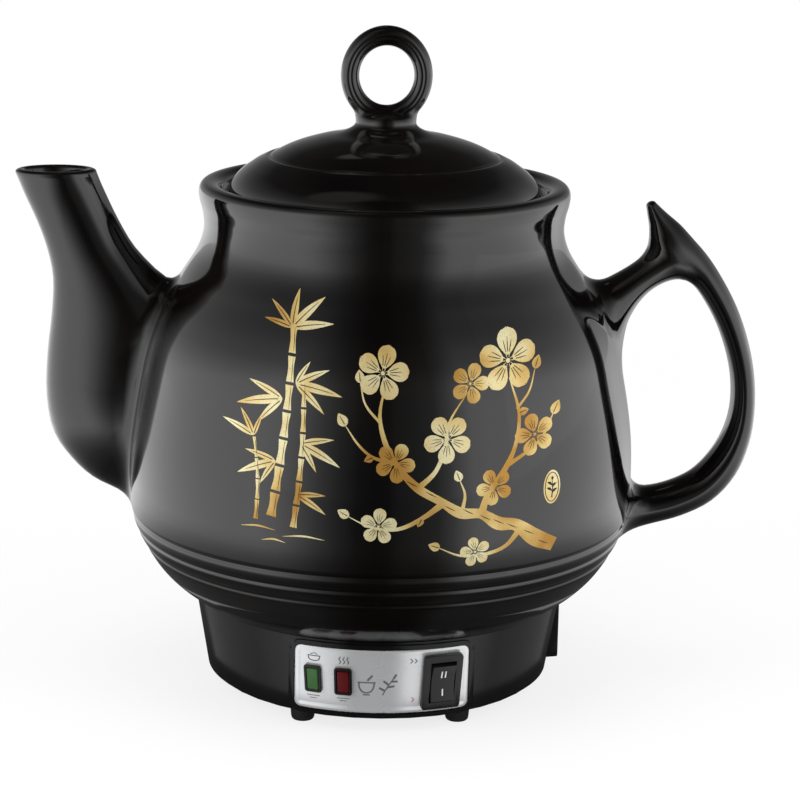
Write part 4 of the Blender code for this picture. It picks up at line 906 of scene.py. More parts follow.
@dataclass
class StonewarePot:
    """The fired piece: turned bowl, lofted spout and lofted handle.

    Rows are in millimetres: radius and height above the table for the turned outlines. A spout row
    is outer edge X and Z, inner edge X and Z, and half depth. A handle row is middle X and Z, half
    width and half depth.
    """

    outside: tuple[Row, ...] = (
        (79.3, 41.5), (81.2, 42.9), (87.8, 48.0), (93.8, 54.4), (99.0, 62.6), (103.0, 71.2), (104.9, 82.0),
        (105.2, 98.0), (104.3, 112.0), (101.2, 131.0), (96.9, 149.0), (91.3, 161.5), (83.3, 174.5),
        (76.6, 185.3), (74.1, 193.5), (74.4, 200.0), (75.8, 205.6))
    rim: tuple[Row, ...] = ((75.8, 205.6), (76.2, 208.6), (75.9, 210.9), (74.6, 212.5), (72.4, 213.0), (70.2, 212.8),
                            (68.2, 212.0), (66.9, 210.4), (66.5, 208.4))
    gallery: tuple[Row, ...] = ((66.4, 207.8), (66.0, 207.5), (61.0, 207.5), (60.5, 207.1), (60.5, 204.0))
    inside: tuple[Row, ...] = (
        (60.7, 203.2), (64.6, 198.2), (68.2, 191.9), (71.0, 182.7), (78.2, 171.3), (86.0, 158.7), (91.2, 147.1),
        (95.3, 129.8), (98.4, 111.3), (99.4, 97.9), (98.9, 82.5), (97.3, 73.0), (93.7, 65.5), (89.0, 58.0),
        (85.5, 54.0), (80.0, 52.5), (60.0, 52.5))
    floor: float = 52.5
    foot: tuple[Row, ...] = ((0.0, 46.0), (70.4, 46.0), (71.0, 45.4), (71.0, 42.0), (71.5, 41.5), (78.6, 41.5))
    groove_heights: Row = (63.1, 69.3, 75.5)
    groove_depth: float = 0.90
    groove_half_width: float = 1.0
    # How quickly a groove runs out, above and below its middle, and the outline's step there
    groove_falls: Row = (1.6, 0.6)
    groove_step: float = 0.3
    groove_half_steps: int = 9
    spout: tuple[Row, ...] = (
        (-151.0, 215.4, -117.9, 215.6, 12.5), (-149.4, 211.4, -116.3, 211.4, 11.8),
        (-147.0, 205.5, -113.7, 205.5, 11.3), (-142.6, 195.6, -109.0, 195.6, 11.3),
        (-138.6, 184.2, -102.2, 184.2, 12.4), (-136.3, 171.7, -89.8, 171.1, 14.7),
        (-136.9, 157.7, -79.6, 159.7, 17.6), (-139.0, 139.8, -79.6, 144.7, 19.9),
        (-139.6, 121.9, -81.7, 129.8, 21.0), (-136.8, 106.4, -84.6, 117.8, 20.6),
        (-129.9, 95.8, -87.7, 107.9, 18.5), (-121.3, 87.5, -90.8, 100.9, 15.1),
        (-110.6, 82.0, -93.8, 95.0, 10.5), (-99.9, 79.0, -95.8, 88.2, 6.3))
    # Strainer holes through the wall behind the spout
    strainer_radius: float = 3.3
    strainer_pitch: float = 10.5
    strainer_low: float = 102.5
    strainer_rows: tuple[int, ...] = (2, 3, 2, 3, 2)
    strainer_depth: float = 18.0
    spout_wall: float = 4.5
    lip_rise: float = 1.3
    wall_cut: float = 3.0
    grip: tuple[Row, ...] = (
        (110.0, 204.6, 2.2, 3.8), (112.8, 199.6, 4.1, 5.2), (117.2, 192.9, 6.4, 6.8), (122.7, 186.4, 6.9, 8.2),
        (129.0, 180.4, 6.3, 9.0), (134.9, 173.2, 5.7, 9.5), (142.5, 160.6, 5.3, 9.8), (148.2, 146.2, 5.0, 10.0),
        (151.4, 132.1, 4.9, 10.0), (151.9, 118.1, 5.2, 10.0), (149.7, 105.9, 6.1, 10.2), (144.5, 94.4, 7.2, 10.5),
        (136.1, 85.0, 7.6, 11.0), (125.0, 79.3, 7.6, 11.6), (114.0, 76.4, 7.8, 12.5), (104.0, 75.2, 9.3, 14.0),
        (94.6, 75.1, 10.5, 15.5))
    arm: tuple[Row, ...] = (
        (80.8, 150.7, 19.5, 17.0), (89.5, 158.4, 14.0, 15.5), (95.3, 164.0, 10.2, 13.5), (100.6, 169.0, 7.9, 11.5),
        (106.5, 173.9, 6.7, 10.0), (113.2, 178.8, 7.0, 9.0), (119.7, 184.0, 7.5, 7.0))
    # Where the bowl's mesh is finer, round the joints with spout and handle
    skin_depth: float = 2.0
    joint_least_x: float = 52.0
    joint_half_width: float = 40.0
    joint_heights: Row = (50.0, 196.0)
    # How a strip's end is rounded: its length as a share of the half width, and the angles of its sections
    cap_length: float = 0.7
    cap_angles: Row = (1.35, 1.0, 0.6, 0.3)
    steps: int = 192
    spout_sides: int = 40
    grip_sides: int = 28
    body_fillet: float = 8.0
    handle_fillet: float = 9.0
    horn_fillet: float = 11.0
    # The bowl's outside without and with its turned grooves
    smooth: TurnedField = field(init=False)
    grooved: TurnedField = field(init=False)

    def __post_init__(self) -> None:
        """Work out the outlines that the steps share."""
        self.smooth = TurnedField(fair_curve(self.outside, 8) * MM)
        self.grooved = TurnedField(self.grooved_outline())

    def grooved_outline(self) -> np.ndarray:
        """The bowl's outline with its three turned grooves, upwards.

        Returns:
            Radius and height of each point.
        """
        heights = set(np.round(self.smooth.heights, 6))
        for middle in self.groove_heights:
            heights |= {round((middle + offset * self.groove_step) * MM, 6)
                        for offset in range(-self.groove_half_steps, self.groove_half_steps + 1)}
        points = []
        for height in sorted(heights):
            radius = self.smooth.radius(height)
            for middle in self.groove_heights:
                off = (height / MM - middle) / self.groove_half_width
                fall = self.groove_falls[0] if off > 0.0 else self.groove_falls[1]
                radius -= self.groove_depth * MM * math.exp(-off * off * fall)
            points.append((radius, height))
        return np.array(points)

    def bowl(self) -> bmesh.types.BMesh:
        """Turn the bowl with its foot ring, rim, gallery and hollow.

        Returns:
            The closed shape.
        """
        shape = bmesh.new()
        outside = zip(self.grooved.radii, self.grooved.heights)
        points = [*(np.array(self.foot) * MM), *outside, *(fair_curve(self.rim, 4)[1:] * MM),
                  *(np.array(self.gallery) * MM), *(fair_curve(self.inside, 3) * MM), (0.0, self.floor * MM)]
        spin_profile(shape, points, self.steps)
        near = [edge for edge in shape.edges if self.is_near_joint((edge.verts[0].co + edge.verts[1].co) / 2)]
        bmesh.ops.subdivide_edges(shape, edges=near, cuts=1, use_grid_fill=True)
        for vert in shape.verts:
            if self.is_near_joint(vert.co):
                set_radius(vert, self.grooved.radius(vert.co.z))
        bmesh.ops.recalc_face_normals(shape, faces=shape.faces)
        shape = cut_out(shape, self.strainer())
        bmesh.ops.recalc_face_normals(shape, faces=shape.faces)
        return shape

    def strainer(self) -> bmesh.types.BMesh:
        """Rods that stand for the strainer holes, through the wall behind the spout, in staggered rows."""
        rods = bmesh.new()
        for row, count in enumerate(self.strainer_rows):
            height = (self.strainer_low + row * self.strainer_pitch) * MM
            middle = -self.smooth.radius(height) + self.wall_cut * MM
            for column in range(count):
                across = (column - (count - 1) / 2) * self.strainer_pitch * MM
                bmesh.ops.create_cone(rods, cap_ends=True, segments=24, radius1=self.strainer_radius * MM,
                                      radius2=self.strainer_radius * MM, depth=self.strainer_depth * MM,
                                      matrix=Matrix.Translation((middle, across, height))
                                      @ Matrix.Rotation(math.pi / 2, 4, "Y"))
        return rods

    def is_near_joint(self, point: Vector) -> bool:
        """Whether a point on the bowl's outside lies where spout or handle meets it."""
        outer = math.hypot(point.x, point.y) > self.smooth.radius(point.z) - self.skin_depth * MM
        least, side, (low, high) = self.joint_least_x * MM, self.joint_half_width * MM, self.joint_heights
        return outer and abs(point.x) > least and abs(point.y) < side and low * MM < point.z < high * MM

    def spout_sections(self, wall: float) -> list[Section]:
        """Sections of the spout from the root to the mouth.

        Args:
            wall: How far they are drawn in, in millimetres.

        Returns:
            The sections.
        """
        sections = []
        for outer_x, outer_z, inner_x, inner_z, half_depth in fair_curve(self.spout, 3)[::-1] * MM:
            outer, inner = Vector((outer_x, 0.0, outer_z)), Vector((inner_x, 0.0, inner_z))
            across = (outer - inner) / 2
            across *= 1.0 - wall * MM / across.length
            sections.append(Section((outer + inner) / 2, across, Vector((0.0, half_depth - wall * MM, 0.0))))
        return sections

    def spout_shape(self) -> bmesh.types.BMesh:
        """Loft the spout: skin, rounded lip and bore in one closed shell.

        Returns:
            The closed shape.
        """
        skin = self.spout_sections(0.0)
        bore = self.spout_sections(self.spout_wall)[::-1]
        top = skin[-1]
        lip = []
        for angle in np.linspace(0.0, math.pi, 9)[1:-1]:
            inward = self.spout_wall * MM / 2 * (1.0 - math.cos(angle))
            rise = Vector((0.0, 0.0, self.lip_rise * MM * math.sin(angle)))
            lip.append(Section(top.centre + rise, top.across * (1.0 - inward / top.across.length),
                               top.deep * (1.0 - inward / top.deep.length)))
        shape = bmesh.new()
        loft(shape, [*skin, *lip, *bore], self.spout_sides)
        return shape

    def strip_sections(self, rows: Sequence[Row], per_span: int) -> list[Section]:
        """Sections of a strip of the handle, square to its middle line, with rounded ends.

        Args:
            rows: The strip's rows.
            per_span: Steps between rows.

        Returns:
            The sections.
        """
        fair = fair_curve(rows, per_span) * MM
        middle = [Vector((x, 0.0, z)) for x, z, _, _ in fair]
        sections = []
        for number, (_, _, half_width, half_depth) in enumerate(fair):
            along = (middle[min(number + 1, len(middle) - 1)] - middle[max(number - 1, 0)]).normalized()
            sections.append(Section(middle[number], Vector((along.z, 0.0, -along.x)) * half_width,
                                    Vector((0.0, half_depth, 0.0))))
        first = sections[0]
        back = (middle[0] - middle[1]).normalized() * first.across.length * self.cap_length
        caps = [Section(first.centre + back * math.sin(angle), first.across * math.cos(angle),
                        first.deep * math.cos(angle)) for angle in self.cap_angles]
        return caps + sections

    def build(self) -> None:
        """Build bowl, spout and handle, and join them with fillets."""
        shapes = {"bowl": self.bowl(), "spout": self.spout_shape(), "grip": bmesh.new(), "arm": bmesh.new()}
        for key, rows in (("grip", self.grip), ("arm", self.arm)):
            loft(shapes[key], self.strip_sections(rows, 4), self.grip_sides)
        skin = bmesh.new()
        loft(skin, self.spout_sections(0.0), self.spout_sides)
        fields = {"bowl": self.smooth, "spout": MeshField(skin), "grip": MeshField(shapes["grip"]),
                  "arm": MeshField(shapes["arm"])}
        skin.free()
        for key in ("spout", "grip", "arm"):
            trim_inside(shapes[key], self.smooth, self.wall_cut * MM)
            bmesh.ops.recalc_face_normals(shapes[key], faces=shapes[key].faces)
        # Each piece: its name, its sharp edges' angle, the node it stands for, and its joints with their reach
        pieces = {
            "bowl": ("pot_bowl", 50.0, ["ceramic_pot"], ((["spout"], self.body_fillet),
                                                         (["arm", "grip"], self.handle_fillet))),
            "spout": ("pot_spout", 60.0, (), ((["bowl"], self.body_fillet),)),
            "grip": ("pot_handle_grip", 60.0, (), ((["arm"], self.horn_fillet), (["bowl"], self.handle_fillet))),
            "arm": ("pot_handle_arm", 60.0, (), ((["grip"], self.horn_fillet), (["bowl"], self.handle_fillet))),
        }
        for key, (name, crease, replaced, joints) in pieces.items():
            normals = {}
            for others, reach in joints:
                normals |= fillet(shapes[key], fields[key], [fields[other] for other in others], reach * MM)
            make_piece(name, shapes[key], GLAZE, Body.POT, replaced, crease, normals)


@dataclass
class LidWithRing:
    """The stepped lid with its collar, and the ring knob on its neck. Rows are radius and height in mm."""

    neck: tuple[Row, ...] = ((0.0, 240.6), (9.0, 240.6), (11.2, 240.0), (12.0, 238.6), (12.4, 237.0), (13.8, 235.4),
                             (18.0, 233.4), (26.4, 231.6), (35.2, 229.1), (41.0, 226.8), (46.0, 224.2))
    step: tuple[Row, ...] = ((46.6, 223.8), (47.0, 223.4), (47.6, 223.3), (48.3, 223.4))
    brim: tuple[Row, ...] = ((49.2, 223.2), (52.6, 221.6), (55.5, 219.7), (58.6, 217.4), (61.3, 214.8),
                             (63.3, 212.1), (64.2, 209.9), (64.1, 208.6), (63.4, 207.8))
    collar: tuple[Row, ...] = ((58.9, 207.8), (58.5, 207.4), (58.5, 199.8), (57.7, 199.0), (55.3, 199.0),
                               (54.5, 199.8))
    inside: tuple[Row, ...] = ((53.6, 206.0), (52.6, 211.4), (46.5, 216.2), (39.8, 220.0), (30.0, 223.8),
                               (19.9, 226.2), (10.0, 227.1), (0.0, 227.3))
    ring: tuple[Row, ...] = (
        (18.7, 0.0), (18.6, 1.4), (18.3, 2.7), (17.7, 3.8), (16.9, 4.6), (16.0, 5.0), (15.3, 4.95), (14.9, 4.65),
        (14.6, 4.45), (14.3, 4.5), (13.9, 4.5), (13.0, 4.0), (12.1, 3.1), (11.5, 2.0), (11.2, 0.9))
    ring_rise: float = 256.5
    ring_stretch: float = 1.08
    ring_steps: int = 96
    steps: int = 160
    reach: float = 4.5

    def build(self) -> None:
        """Turn the lid, spin the ring and join them at the neck."""
        outline = np.vstack([fair_curve(self.neck, 4), fair_curve(self.step, 2), fair_curve(self.brim, 4)])
        lid = bmesh.new()
        points = [*(outline * MM), *(np.array(self.collar) * MM), *(fair_curve(self.inside, 3) * MM)]
        spin_profile(lid, points, self.steps)
        ring = bmesh.new()
        half = [(radius * MM, depth * MM) for radius, depth in self.ring]
        spin_profile(ring, half + [(radius, -depth) for radius, depth in half[:0:-1]], self.ring_steps,
                     closed=True, axis=Axis.Y)
        bmesh.ops.scale(ring, vec=(1.0, 1.0, self.ring_stretch), verts=ring.verts)
        bmesh.ops.translate(ring, vec=(0.0, 0.0, self.ring_rise * MM), verts=ring.verts)
        bmesh.ops.recalc_face_normals(ring, faces=ring.faces)
        lid_field, ring_field = MeshField(lid), MeshField(ring)
        lid_normals = fillet(lid, lid_field, [ring_field], self.reach * MM)
        ring_normals = fillet(ring, ring_field, [lid_field], self.reach * MM)
        make_piece("lid_dome", lid, GLAZE, Body.LID, ["lid"], 50.0, lid_normals)
        make_piece("lid_ring", ring, GLAZE, Body.LID, (), 60.0, ring_normals)


# Gold decoration


class Motif(Enum):
    """The motifs of the gold decoration."""

    BAMBOO = "bamboo"
    BLOSSOM = "blossom"
    MEDALLION = "medallion"


@dataclass
class GoldDecoration:
    """Gold transfer on the bowl's front: bamboo, a plum branch and an oval with a sprig, all of a generic kind.

    Places are in millimetres across (X) and up (Z), as seen from the front.
    """

    pot: StonewarePot
    film: float = 0.06
    line_rise: float = 0.04
    gold: bmesh.types.BMesh = field(default_factory=bmesh.new)
    black: bmesh.types.BMesh = field(default_factory=bmesh.new)

    def on_bowl(self, across: float, up: float, rise: float = 0.0) -> Vector:
        """Lay a place of the front view on the bowl.

        Args:
            across: Millimetres along X.
            up: Millimetres above the table.
            rise: Millimetres above the gold film.

        Returns:
            The point.
        """
        return on_round(across, up, self.pot.smooth.radius(up * MM) + (self.film + rise) * MM)

    def stroke(self, line: Sequence[Row], widths: Sequence[float], steps: int = 6, black: bool = False) -> None:
        """Draw a tapering stroke.

        Args:
            line: Across and up of its points.
            widths: Width at each point, in millimetres.
            steps: Steps between points.
            black: Whether it is a black line on the gold.
        """
        rows = fair_curve([(x, z, width) for (x, z), width in zip(line, widths)], steps)
        if black:
            ribbon(self.black, rows, 1, lambda x, z: self.on_bowl(x, z, self.line_rise))
        else:
            ribbon(self.gold, rows, 2, self.on_bowl)

    def turned(self, x: float, z: float, angle: float, run: float, off: float) -> Row:
        """Go a way along and off a direction, in degrees, from a place."""
        turn = math.radians(angle)
        return x + run * math.cos(turn) - off * math.sin(turn), z + run * math.sin(turn) + off * math.cos(turn)

    def leaf(self, x: float, z: float, angle: float, length: float, width: float, bend: float = 0.12,
             vein: bool = True) -> None:
        """Draw a pointed leaf.

        Args:
            x: Its stem end, across.
            z: Its stem end, up.
            angle: Direction in degrees from +X.
            length: Its length.
            width: Its greatest width.
            bend: How far it bends, as a share of its length.
            vein: Whether it has a black middle line.
        """
        # The belly lies nearer the stem, and the outline is a little fuller than a sine
        def place(along: float, across: float) -> Vector:
            swell = math.sin(math.pi * along ** 0.72) ** 0.85 * width
            off = (across - 0.5) * max(swell, THINNEST_LINE) + bend * length * along * along
            return self.on_bowl(*self.turned(x, z, angle, along * length, off))

        patch(self.gold, 12, 4, place)
        if vein:
            line = [self.turned(x, z, angle, share * length, bend * length * share * share)
                    for share in (0.10, 0.35, 0.60, 0.80)]
            self.stroke(line, (0.34, 0.30, 0.24, 0.12), 3, black=True)

    def disc(self, x: float, z: float, wide: float, high: float, sides: int = 12, rings: int = 1) -> None:
        """Draw a round or oval spot, given half its width and height."""
        patch(self.gold, sides, rings, lambda along, across: self.on_bowl(
            x + wide * across * math.cos(math.tau * along), z + high * across * math.sin(math.tau * along)))

    def petal(self, x: float, z: float, angle: float, size: float) -> None:
        """Draw a round petal on a narrow claw, with a notch and three fine lines."""
        lobe, middle, claw = 0.335, 0.64, 0.17

        def place(along: float, across: float) -> Vector:
            share = claw + (middle + lobe - claw) * along
            if share > middle:
                wide = lobe * math.sqrt(max(1.0 - ((share - middle) / lobe) ** 2, 0.004))
            else:
                wide = lobe * (1.0 - 0.86 * ((middle - share) / (middle - claw)) ** 1.9)
            notch = 0.09 * math.exp(-((across - 0.5) / 0.09) ** 2) * along ** 3
            return self.on_bowl(*self.turned(x, z, angle, (share - notch) * size, (2 * across - 1) * wide * size))

        patch(self.gold, 10, 8, place)
        for fan, reach in ((-13.0, 0.62), (0.0, 0.70), (13.0, 0.62)):
            line = [self.turned(x, z, angle + fan, share * size, 0.0) for share in (0.26, 0.45, reach)]
            self.stroke(line, (0.022 * size, 0.026 * size, 0.012 * size), 2, black=True)

    def blossom(self, x: float, z: float, size: float, turn: float) -> None:
        """Draw a five-petalled blossom with stamens."""
        for number in range(5):
            self.petal(x, z, turn + 72.0 * number, size)
        for number in range(10):
            angle = turn + 36.0 * number + 18.0
            reach = 0.30 if number % 2 else 0.24
            start, end = self.turned(x, z, angle, 0.10 * size, 0.0), self.turned(x, z, angle, reach * size, 0.0)
            self.stroke((start, end), (0.020 * size, 0.020 * size), 2)
            self.disc(*end, size * 0.034, size * 0.034)
        self.disc(x, z, size * 0.075, size * 0.075)

    def bud(self, x: float, z: float, size: float, angle: float) -> None:
        """Draw a closed bud with its cup."""
        self.leaf(x, z, angle, size, size * 0.78, 0.0)
        self.leaf(x, z, angle + 46.0, size * 0.5, size * 0.22, vein=False)
        self.leaf(x, z, angle - 46.0, size * 0.5, size * 0.22, -0.12, vein=False)

    def bamboo(self) -> None:
        """Draw three bamboo canes with their joints, and sprays of leaves."""
        canes = ((-44.5, 98.0, -36.5, 170.0, 3.3, 7), (-36.0, 94.5, -32.5, 150.0, 2.3, 6),
                 (-50.5, 96.0, -51.5, 128.0, 1.5, 4))
        for low_x, low_z, high_x, high_z, width, joints in canes:
            for number in range(joints):
                start, end = number / joints, (number + 1) / joints - 0.016
                line = [(low_x + (high_x - low_x) * share + 1.2 * math.sin(3.0 * share),
                         low_z + (high_z - low_z) * share) for share in (start, (start + end) / 2, end)]
                wide = width * (1.0 - 0.35 * start)
                self.stroke(line, (wide * 1.18, wide * 0.84, wide * 1.14), 4)
                self.stroke([(x + wide * 0.22, z) for x, z in line], (0.05, 0.24, 0.05), 3, black=True)
        sprays = (
            (-37.0, 168.5, ((84, 14), (48, 17), (14, 16), (126, 12), (162, 11))),
            (-35.5, 149.0, ((30, 14), (-6, 18), (-38, 15), (62, 10))),
            (-40.5, 143.0, ((150, 14), (186, 18), (220, 14))),
            (-33.5, 127.0, ((16, 13), (-22, 17), (-54, 12))),
            (-43.0, 119.5, ((160, 12), (198, 16), (232, 11))),
            (-51.5, 128.0, ((112, 11), (152, 13), (74, 9))),
            (-34.8, 107.5, ((8, 11), (-26, 13))),
        )
        for x, z, blades in sprays:
            for angle, length in blades:
                bend = 0.10 if math.cos(math.radians(angle)) < 0 else -0.10
                self.leaf(x, z, angle, length, length * 0.19, bend)
        for x, z, run in ((-56.0, 92.5, 13.0), (-40.0, 90.5, 16.0), (-48.0, 88.0, 9.0)):
            self.stroke(((x, z), (x + run * 0.5, z + 0.9), (x + run, z)), (0.15, 0.75, 0.15), 5)

    def plum_branch(self) -> None:
        """Draw the plum branch with its twigs, blossoms and buds."""
        trunk = ((66.0, 83.5), (58.0, 88.0), (50.0, 94.5), (43.0, 96.0), (36.0, 100.5), (28.0, 101.5), (20.0, 106.5),
                 (11.0, 112.0), (4.0, 119.5), (-1.0, 128.0), (-3.5, 139.0), (-1.0, 152.0))
        widths = (5.4, 6.6, 4.6, 5.2, 3.7, 4.3, 3.1, 3.3, 2.2, 2.0, 1.3, 0.4)
        self.stroke(trunk, widths, 5)
        twigs = (
            (((36.0, 100.0), (38.5, 108.0), (44.5, 116.0), (49.0, 125.0), (50.5, 137.0), (46.5, 151.0)),
             (3.3, 2.3, 2.4, 1.6, 1.3, 0.4)),
            (((45.5, 118.0), (54.0, 122.5), (60.0, 127.0), (64.5, 135.0)), (1.9, 1.2, 1.1, 0.4)),
            (((11.0, 111.5), (18.0, 118.0), (21.5, 127.0), (23.0, 136.0), (30.0, 147.0)), (2.4, 1.7, 1.5, 1.0, 0.3)),
            (((21.0, 105.5), (13.0, 100.0), (4.0, 96.0), (-6.0, 96.5), (-15.0, 100.5)), (2.7, 1.8, 1.5, 0.9, 0.3)),
            (((2.0, 121.5), (-6.0, 123.5), (-11.5, 128.0), (-16.5, 135.0)), (1.8, 1.1, 0.9, 0.3)),
            (((52.0, 93.0), (46.0, 86.5), (37.0, 84.0), (28.0, 84.5), (20.0, 88.0)), (2.6, 1.6, 1.4, 0.9, 0.3)),
            (((49.5, 139.0), (54.5, 145.0), (57.0, 153.0)), (1.1, 0.8, 0.3)),
            (((-3.0, 136.0), (-9.0, 143.0), (-11.0, 151.0)), (1.1, 0.8, 0.3)),
            (((28.5, 102.0), (29.5, 108.5), (27.5, 114.0)), (1.6, 1.0, 0.3)),
        )
        for line, width in twigs:
            self.stroke(line, width, 5)
        # Bark: short black strokes along the trunk
        corners = range(len(trunk))
        for number, share in enumerate((0.05, 0.12, 0.20, 0.27, 0.34, 0.42, 0.50, 0.58, 0.66)):
            x, z = (float(np.interp(share * corners[-1], corners, values)) for values in zip(*trunk))
            side = 0.55 if number % 2 else -0.6
            self.stroke(((x + 2.0, z + side - 1.0), (x, z + side), (x - 2.2, z + side + 1.3)), (0.1, 0.34, 0.1), 3,
                        black=True)
        for x, z, size, turn in ((46.0, 157.0, 12.0, 20.0), (22.5, 130.0, 9.6, 50.0), (-2.5, 154.5, 10.4, 4.0),
                                 (57.0, 128.5, 8.4, 34.0), (2.5, 121.5, 8.0, 62.0), (-3.5, 97.0, 7.4, 12.0),
                                 (41.0, 110.5, 7.4, 44.0), (31.0, 150.0, 7.8, 70.0), (34.0, 85.5, 6.2, 30.0)):
            self.blossom(x, z, size, turn)
        for x, z, size, angle in ((64.5, 135.0, 5.4, 62.0), (-16.5, 135.0, 5.2, 122.0), (-15.0, 100.5, 4.8, 150.0),
                                  (20.0, 88.0, 4.6, 160.0), (57.0, 153.0, 4.8, 70.0), (-11.0, 151.0, 4.6, 96.0),
                                  (27.5, 114.0, 4.4, 112.0), (50.5, 137.5, 4.0, 12.0), (13.0, 100.0, 3.6, 245.0),
                                  (-6.0, 123.5, 3.6, 205.0)):
            self.bud(x, z, size, angle)

    def medallion(self) -> None:
        """Draw a small upright gold oval with a black rim line and a leaf sprig on it."""
        x, z, wide, high = 64.5, 107.0, 3.5, 6.6
        self.disc(x, z, wide, high, 36, 2)
        rim = [(x + 0.80 * wide * math.cos(angle), z + 0.86 * high * math.sin(angle))
               for angle in np.linspace(0.0, math.tau, 25)]
        self.stroke(rim, [0.30] * len(rim), 2, black=True)
        self.stroke(((x, z - 4.2), (x + 0.3, z - 1.0), (x, z + 3.0)), (0.5, 0.4, 0.2), 4, black=True)
        for up, side, length in ((-2.4, 1.0, 2.2), (-1.6, -1.0, 2.2), (-0.2, 1.0, 1.9), (0.6, -1.0, 1.9),
                                 (2.6, 0.2, 1.6)):
            tip = (x + side * length, z + up + 1.5)
            middle = (x + side * length * 0.5, z + up + 1.1)
            self.stroke(((x + 0.1, z + up), middle, tip), (0.25, 1.0, 0.1), 4, black=True)

    def build(self) -> None:
        """Draw every motif as one gold film and one layer of black lines."""
        makers = {Motif.BAMBOO: self.bamboo, Motif.BLOSSOM: self.plum_branch, Motif.MEDALLION: self.medallion}
        for motif in Motif:
            makers[motif]()
        for name, shape, finish in (("gold_decoration", self.gold, GOLD),
                                    ("gold_black_lines", self.black, BLACK_LINE)):
            bmesh.ops.remove_doubles(shape, verts=shape.verts, dist=WELD / 2)
            shape.verts.index_update()
            turn_faces(shape, lambda middle: self.pot.smooth.at(middle)[1])
            normals = {vert.index: self.pot.smooth.at(vert.co)[1] for vert in shape.verts}
            make_piece(name, shape, finish, Body.POT, (), 180.0, normals)


# The base


@dataclass
class BaseShell:
    """The plastic skirt under the pot, its seal and cover. Lengths in millimetres."""

    top_radius: float = 77.4
    foot_radius: float = 71.8
    bottom: float = 6.0
    height: float = 34.5
    # Heights, and distances from the true cone, between which a point counts as on it
    cone_heights: Row = (7.5, 40.6)
    cone_gaps: Row = (-0.32, 0.05)
    # Longest edge left after each round of splitting, and how far a face may turn off the cone
    edge_limits: Row = (9.0, 5.0, 3.2)
    facing: float = 0.97

    def radius(self, up: float) -> float:
        """Outer radius of the cone at a height, in millimetres."""
        return self.foot_radius + (self.top_radius - self.foot_radius) * (up - self.bottom) / self.height

    def normal(self, point: Vector) -> Vector:
        """Outward normal of the cone at a point."""
        lean = (self.top_radius - self.foot_radius) / self.height
        out = math.hypot(point.x, point.y)
        return Vector((point.x / out, point.y / out, -lean)).normalized()

    def front(self, across: float, up: float, proud: float) -> Vector:
        """Lay a place of the front view on the cone.

        Args:
            across: Millimetres along X.
            up: Millimetres above the table.
            proud: Millimetres in front of the cone.

        Returns:
            The point.
        """
        return on_round(across, up, (self.radius(up) + proud) * MM)

    def lies_on_cone(self, point: Vector) -> bool:
        """Whether a point lies on the outside of the cone, facets included."""
        up = point.z / MM
        gap = math.hypot(point.x, point.y) / MM - self.radius(up)
        return self.cone_heights[0] < up < self.cone_heights[1] and self.cone_gaps[0] < gap < self.cone_gaps[1]

    def build(self) -> None:
        """Build the skirt with its openings, and dress the nodes under it."""
        shape = node_shape("base_skirt")
        bmesh.ops.triangulate(shape, faces=shape.faces)
        for limit in self.edge_limits:
            long = [edge for edge in shape.edges if edge.calc_length() > limit * MM
                    and all(self.lies_on_cone(vert.co) for vert in edge.verts)]
            bmesh.ops.subdivide_edges(shape, edges=long, cuts=1)
            bmesh.ops.triangulate(shape, faces=[face for face in shape.faces if len(face.verts) > 3])
        shape.verts.index_update()
        for vert in shape.verts:
            if self.lies_on_cone(vert.co):
                set_radius(vert, self.radius(vert.co.z / MM) * MM)
        normals = {vert.index: self.normal(vert.co) for vert in shape.verts if self.lies_on_cone(vert.co)}
        mesh = make_piece("skirt_shell", shape, ABS_BLACK, Body.POT, ["base_skirt"], 25.0).data
        loops = [Vector() for _ in mesh.loops]
        for polygon in mesh.polygons:
            for number in polygon.loop_indices:
                normal = normals.get(mesh.loops[number].vertex_index)
                if normal is not None and polygon.normal.dot(normal) > self.facing:
                    loops[number] = normal
        mesh.normals_split_custom_set(loops)
        round_node("bottom_cover", "bottom_cover_dressed", ABS_TEXTURED, 0.25, 1, 35.0)
        round_node("skirt_seal", "skirt_seal_dressed", SEAL_SILICONE, 0.2, 1, 35.0)


@dataclass
class FootPads:
    """Six rubber feet with a moulded ring, turned finer than in the CAD. Rows are radius and height in mm."""

    circle: float = 63.0
    outline: tuple[Row, ...] = ((0.0, 0.55), (1.4, 0.55), (1.9, 0.35), (2.3, 0.0), (3.6, 0.0), (4.2, 0.15),
                                (4.6, 0.6), (4.8, 1.4), (5.1, 4.6), (5.15, 5.3), (4.9, 5.7), (2.2, 5.7), (2.2, 8.5),
                                (3.1, 8.5), (2.4, 9.9), (0.0, 9.9))
    count: int = 6
    steps: int = 36

    def build(self) -> None:
        """Turn the feet."""
        for number in range(self.count):
            angle = math.tau * (number - 1) / self.count
            shape = bmesh.new()
            spin_profile(shape, np.array(self.outline) * MM, self.steps)
            bmesh.ops.translate(shape, verts=shape.verts,
                                vec=(self.circle * MM * math.cos(angle), self.circle * MM * math.sin(angle), 0.0))
            make_piece(f"foot_pad_{number + 1}", shape, FOOT_RUBBER, Body.POT, [f"foot_{number + 1}"])


# Controls


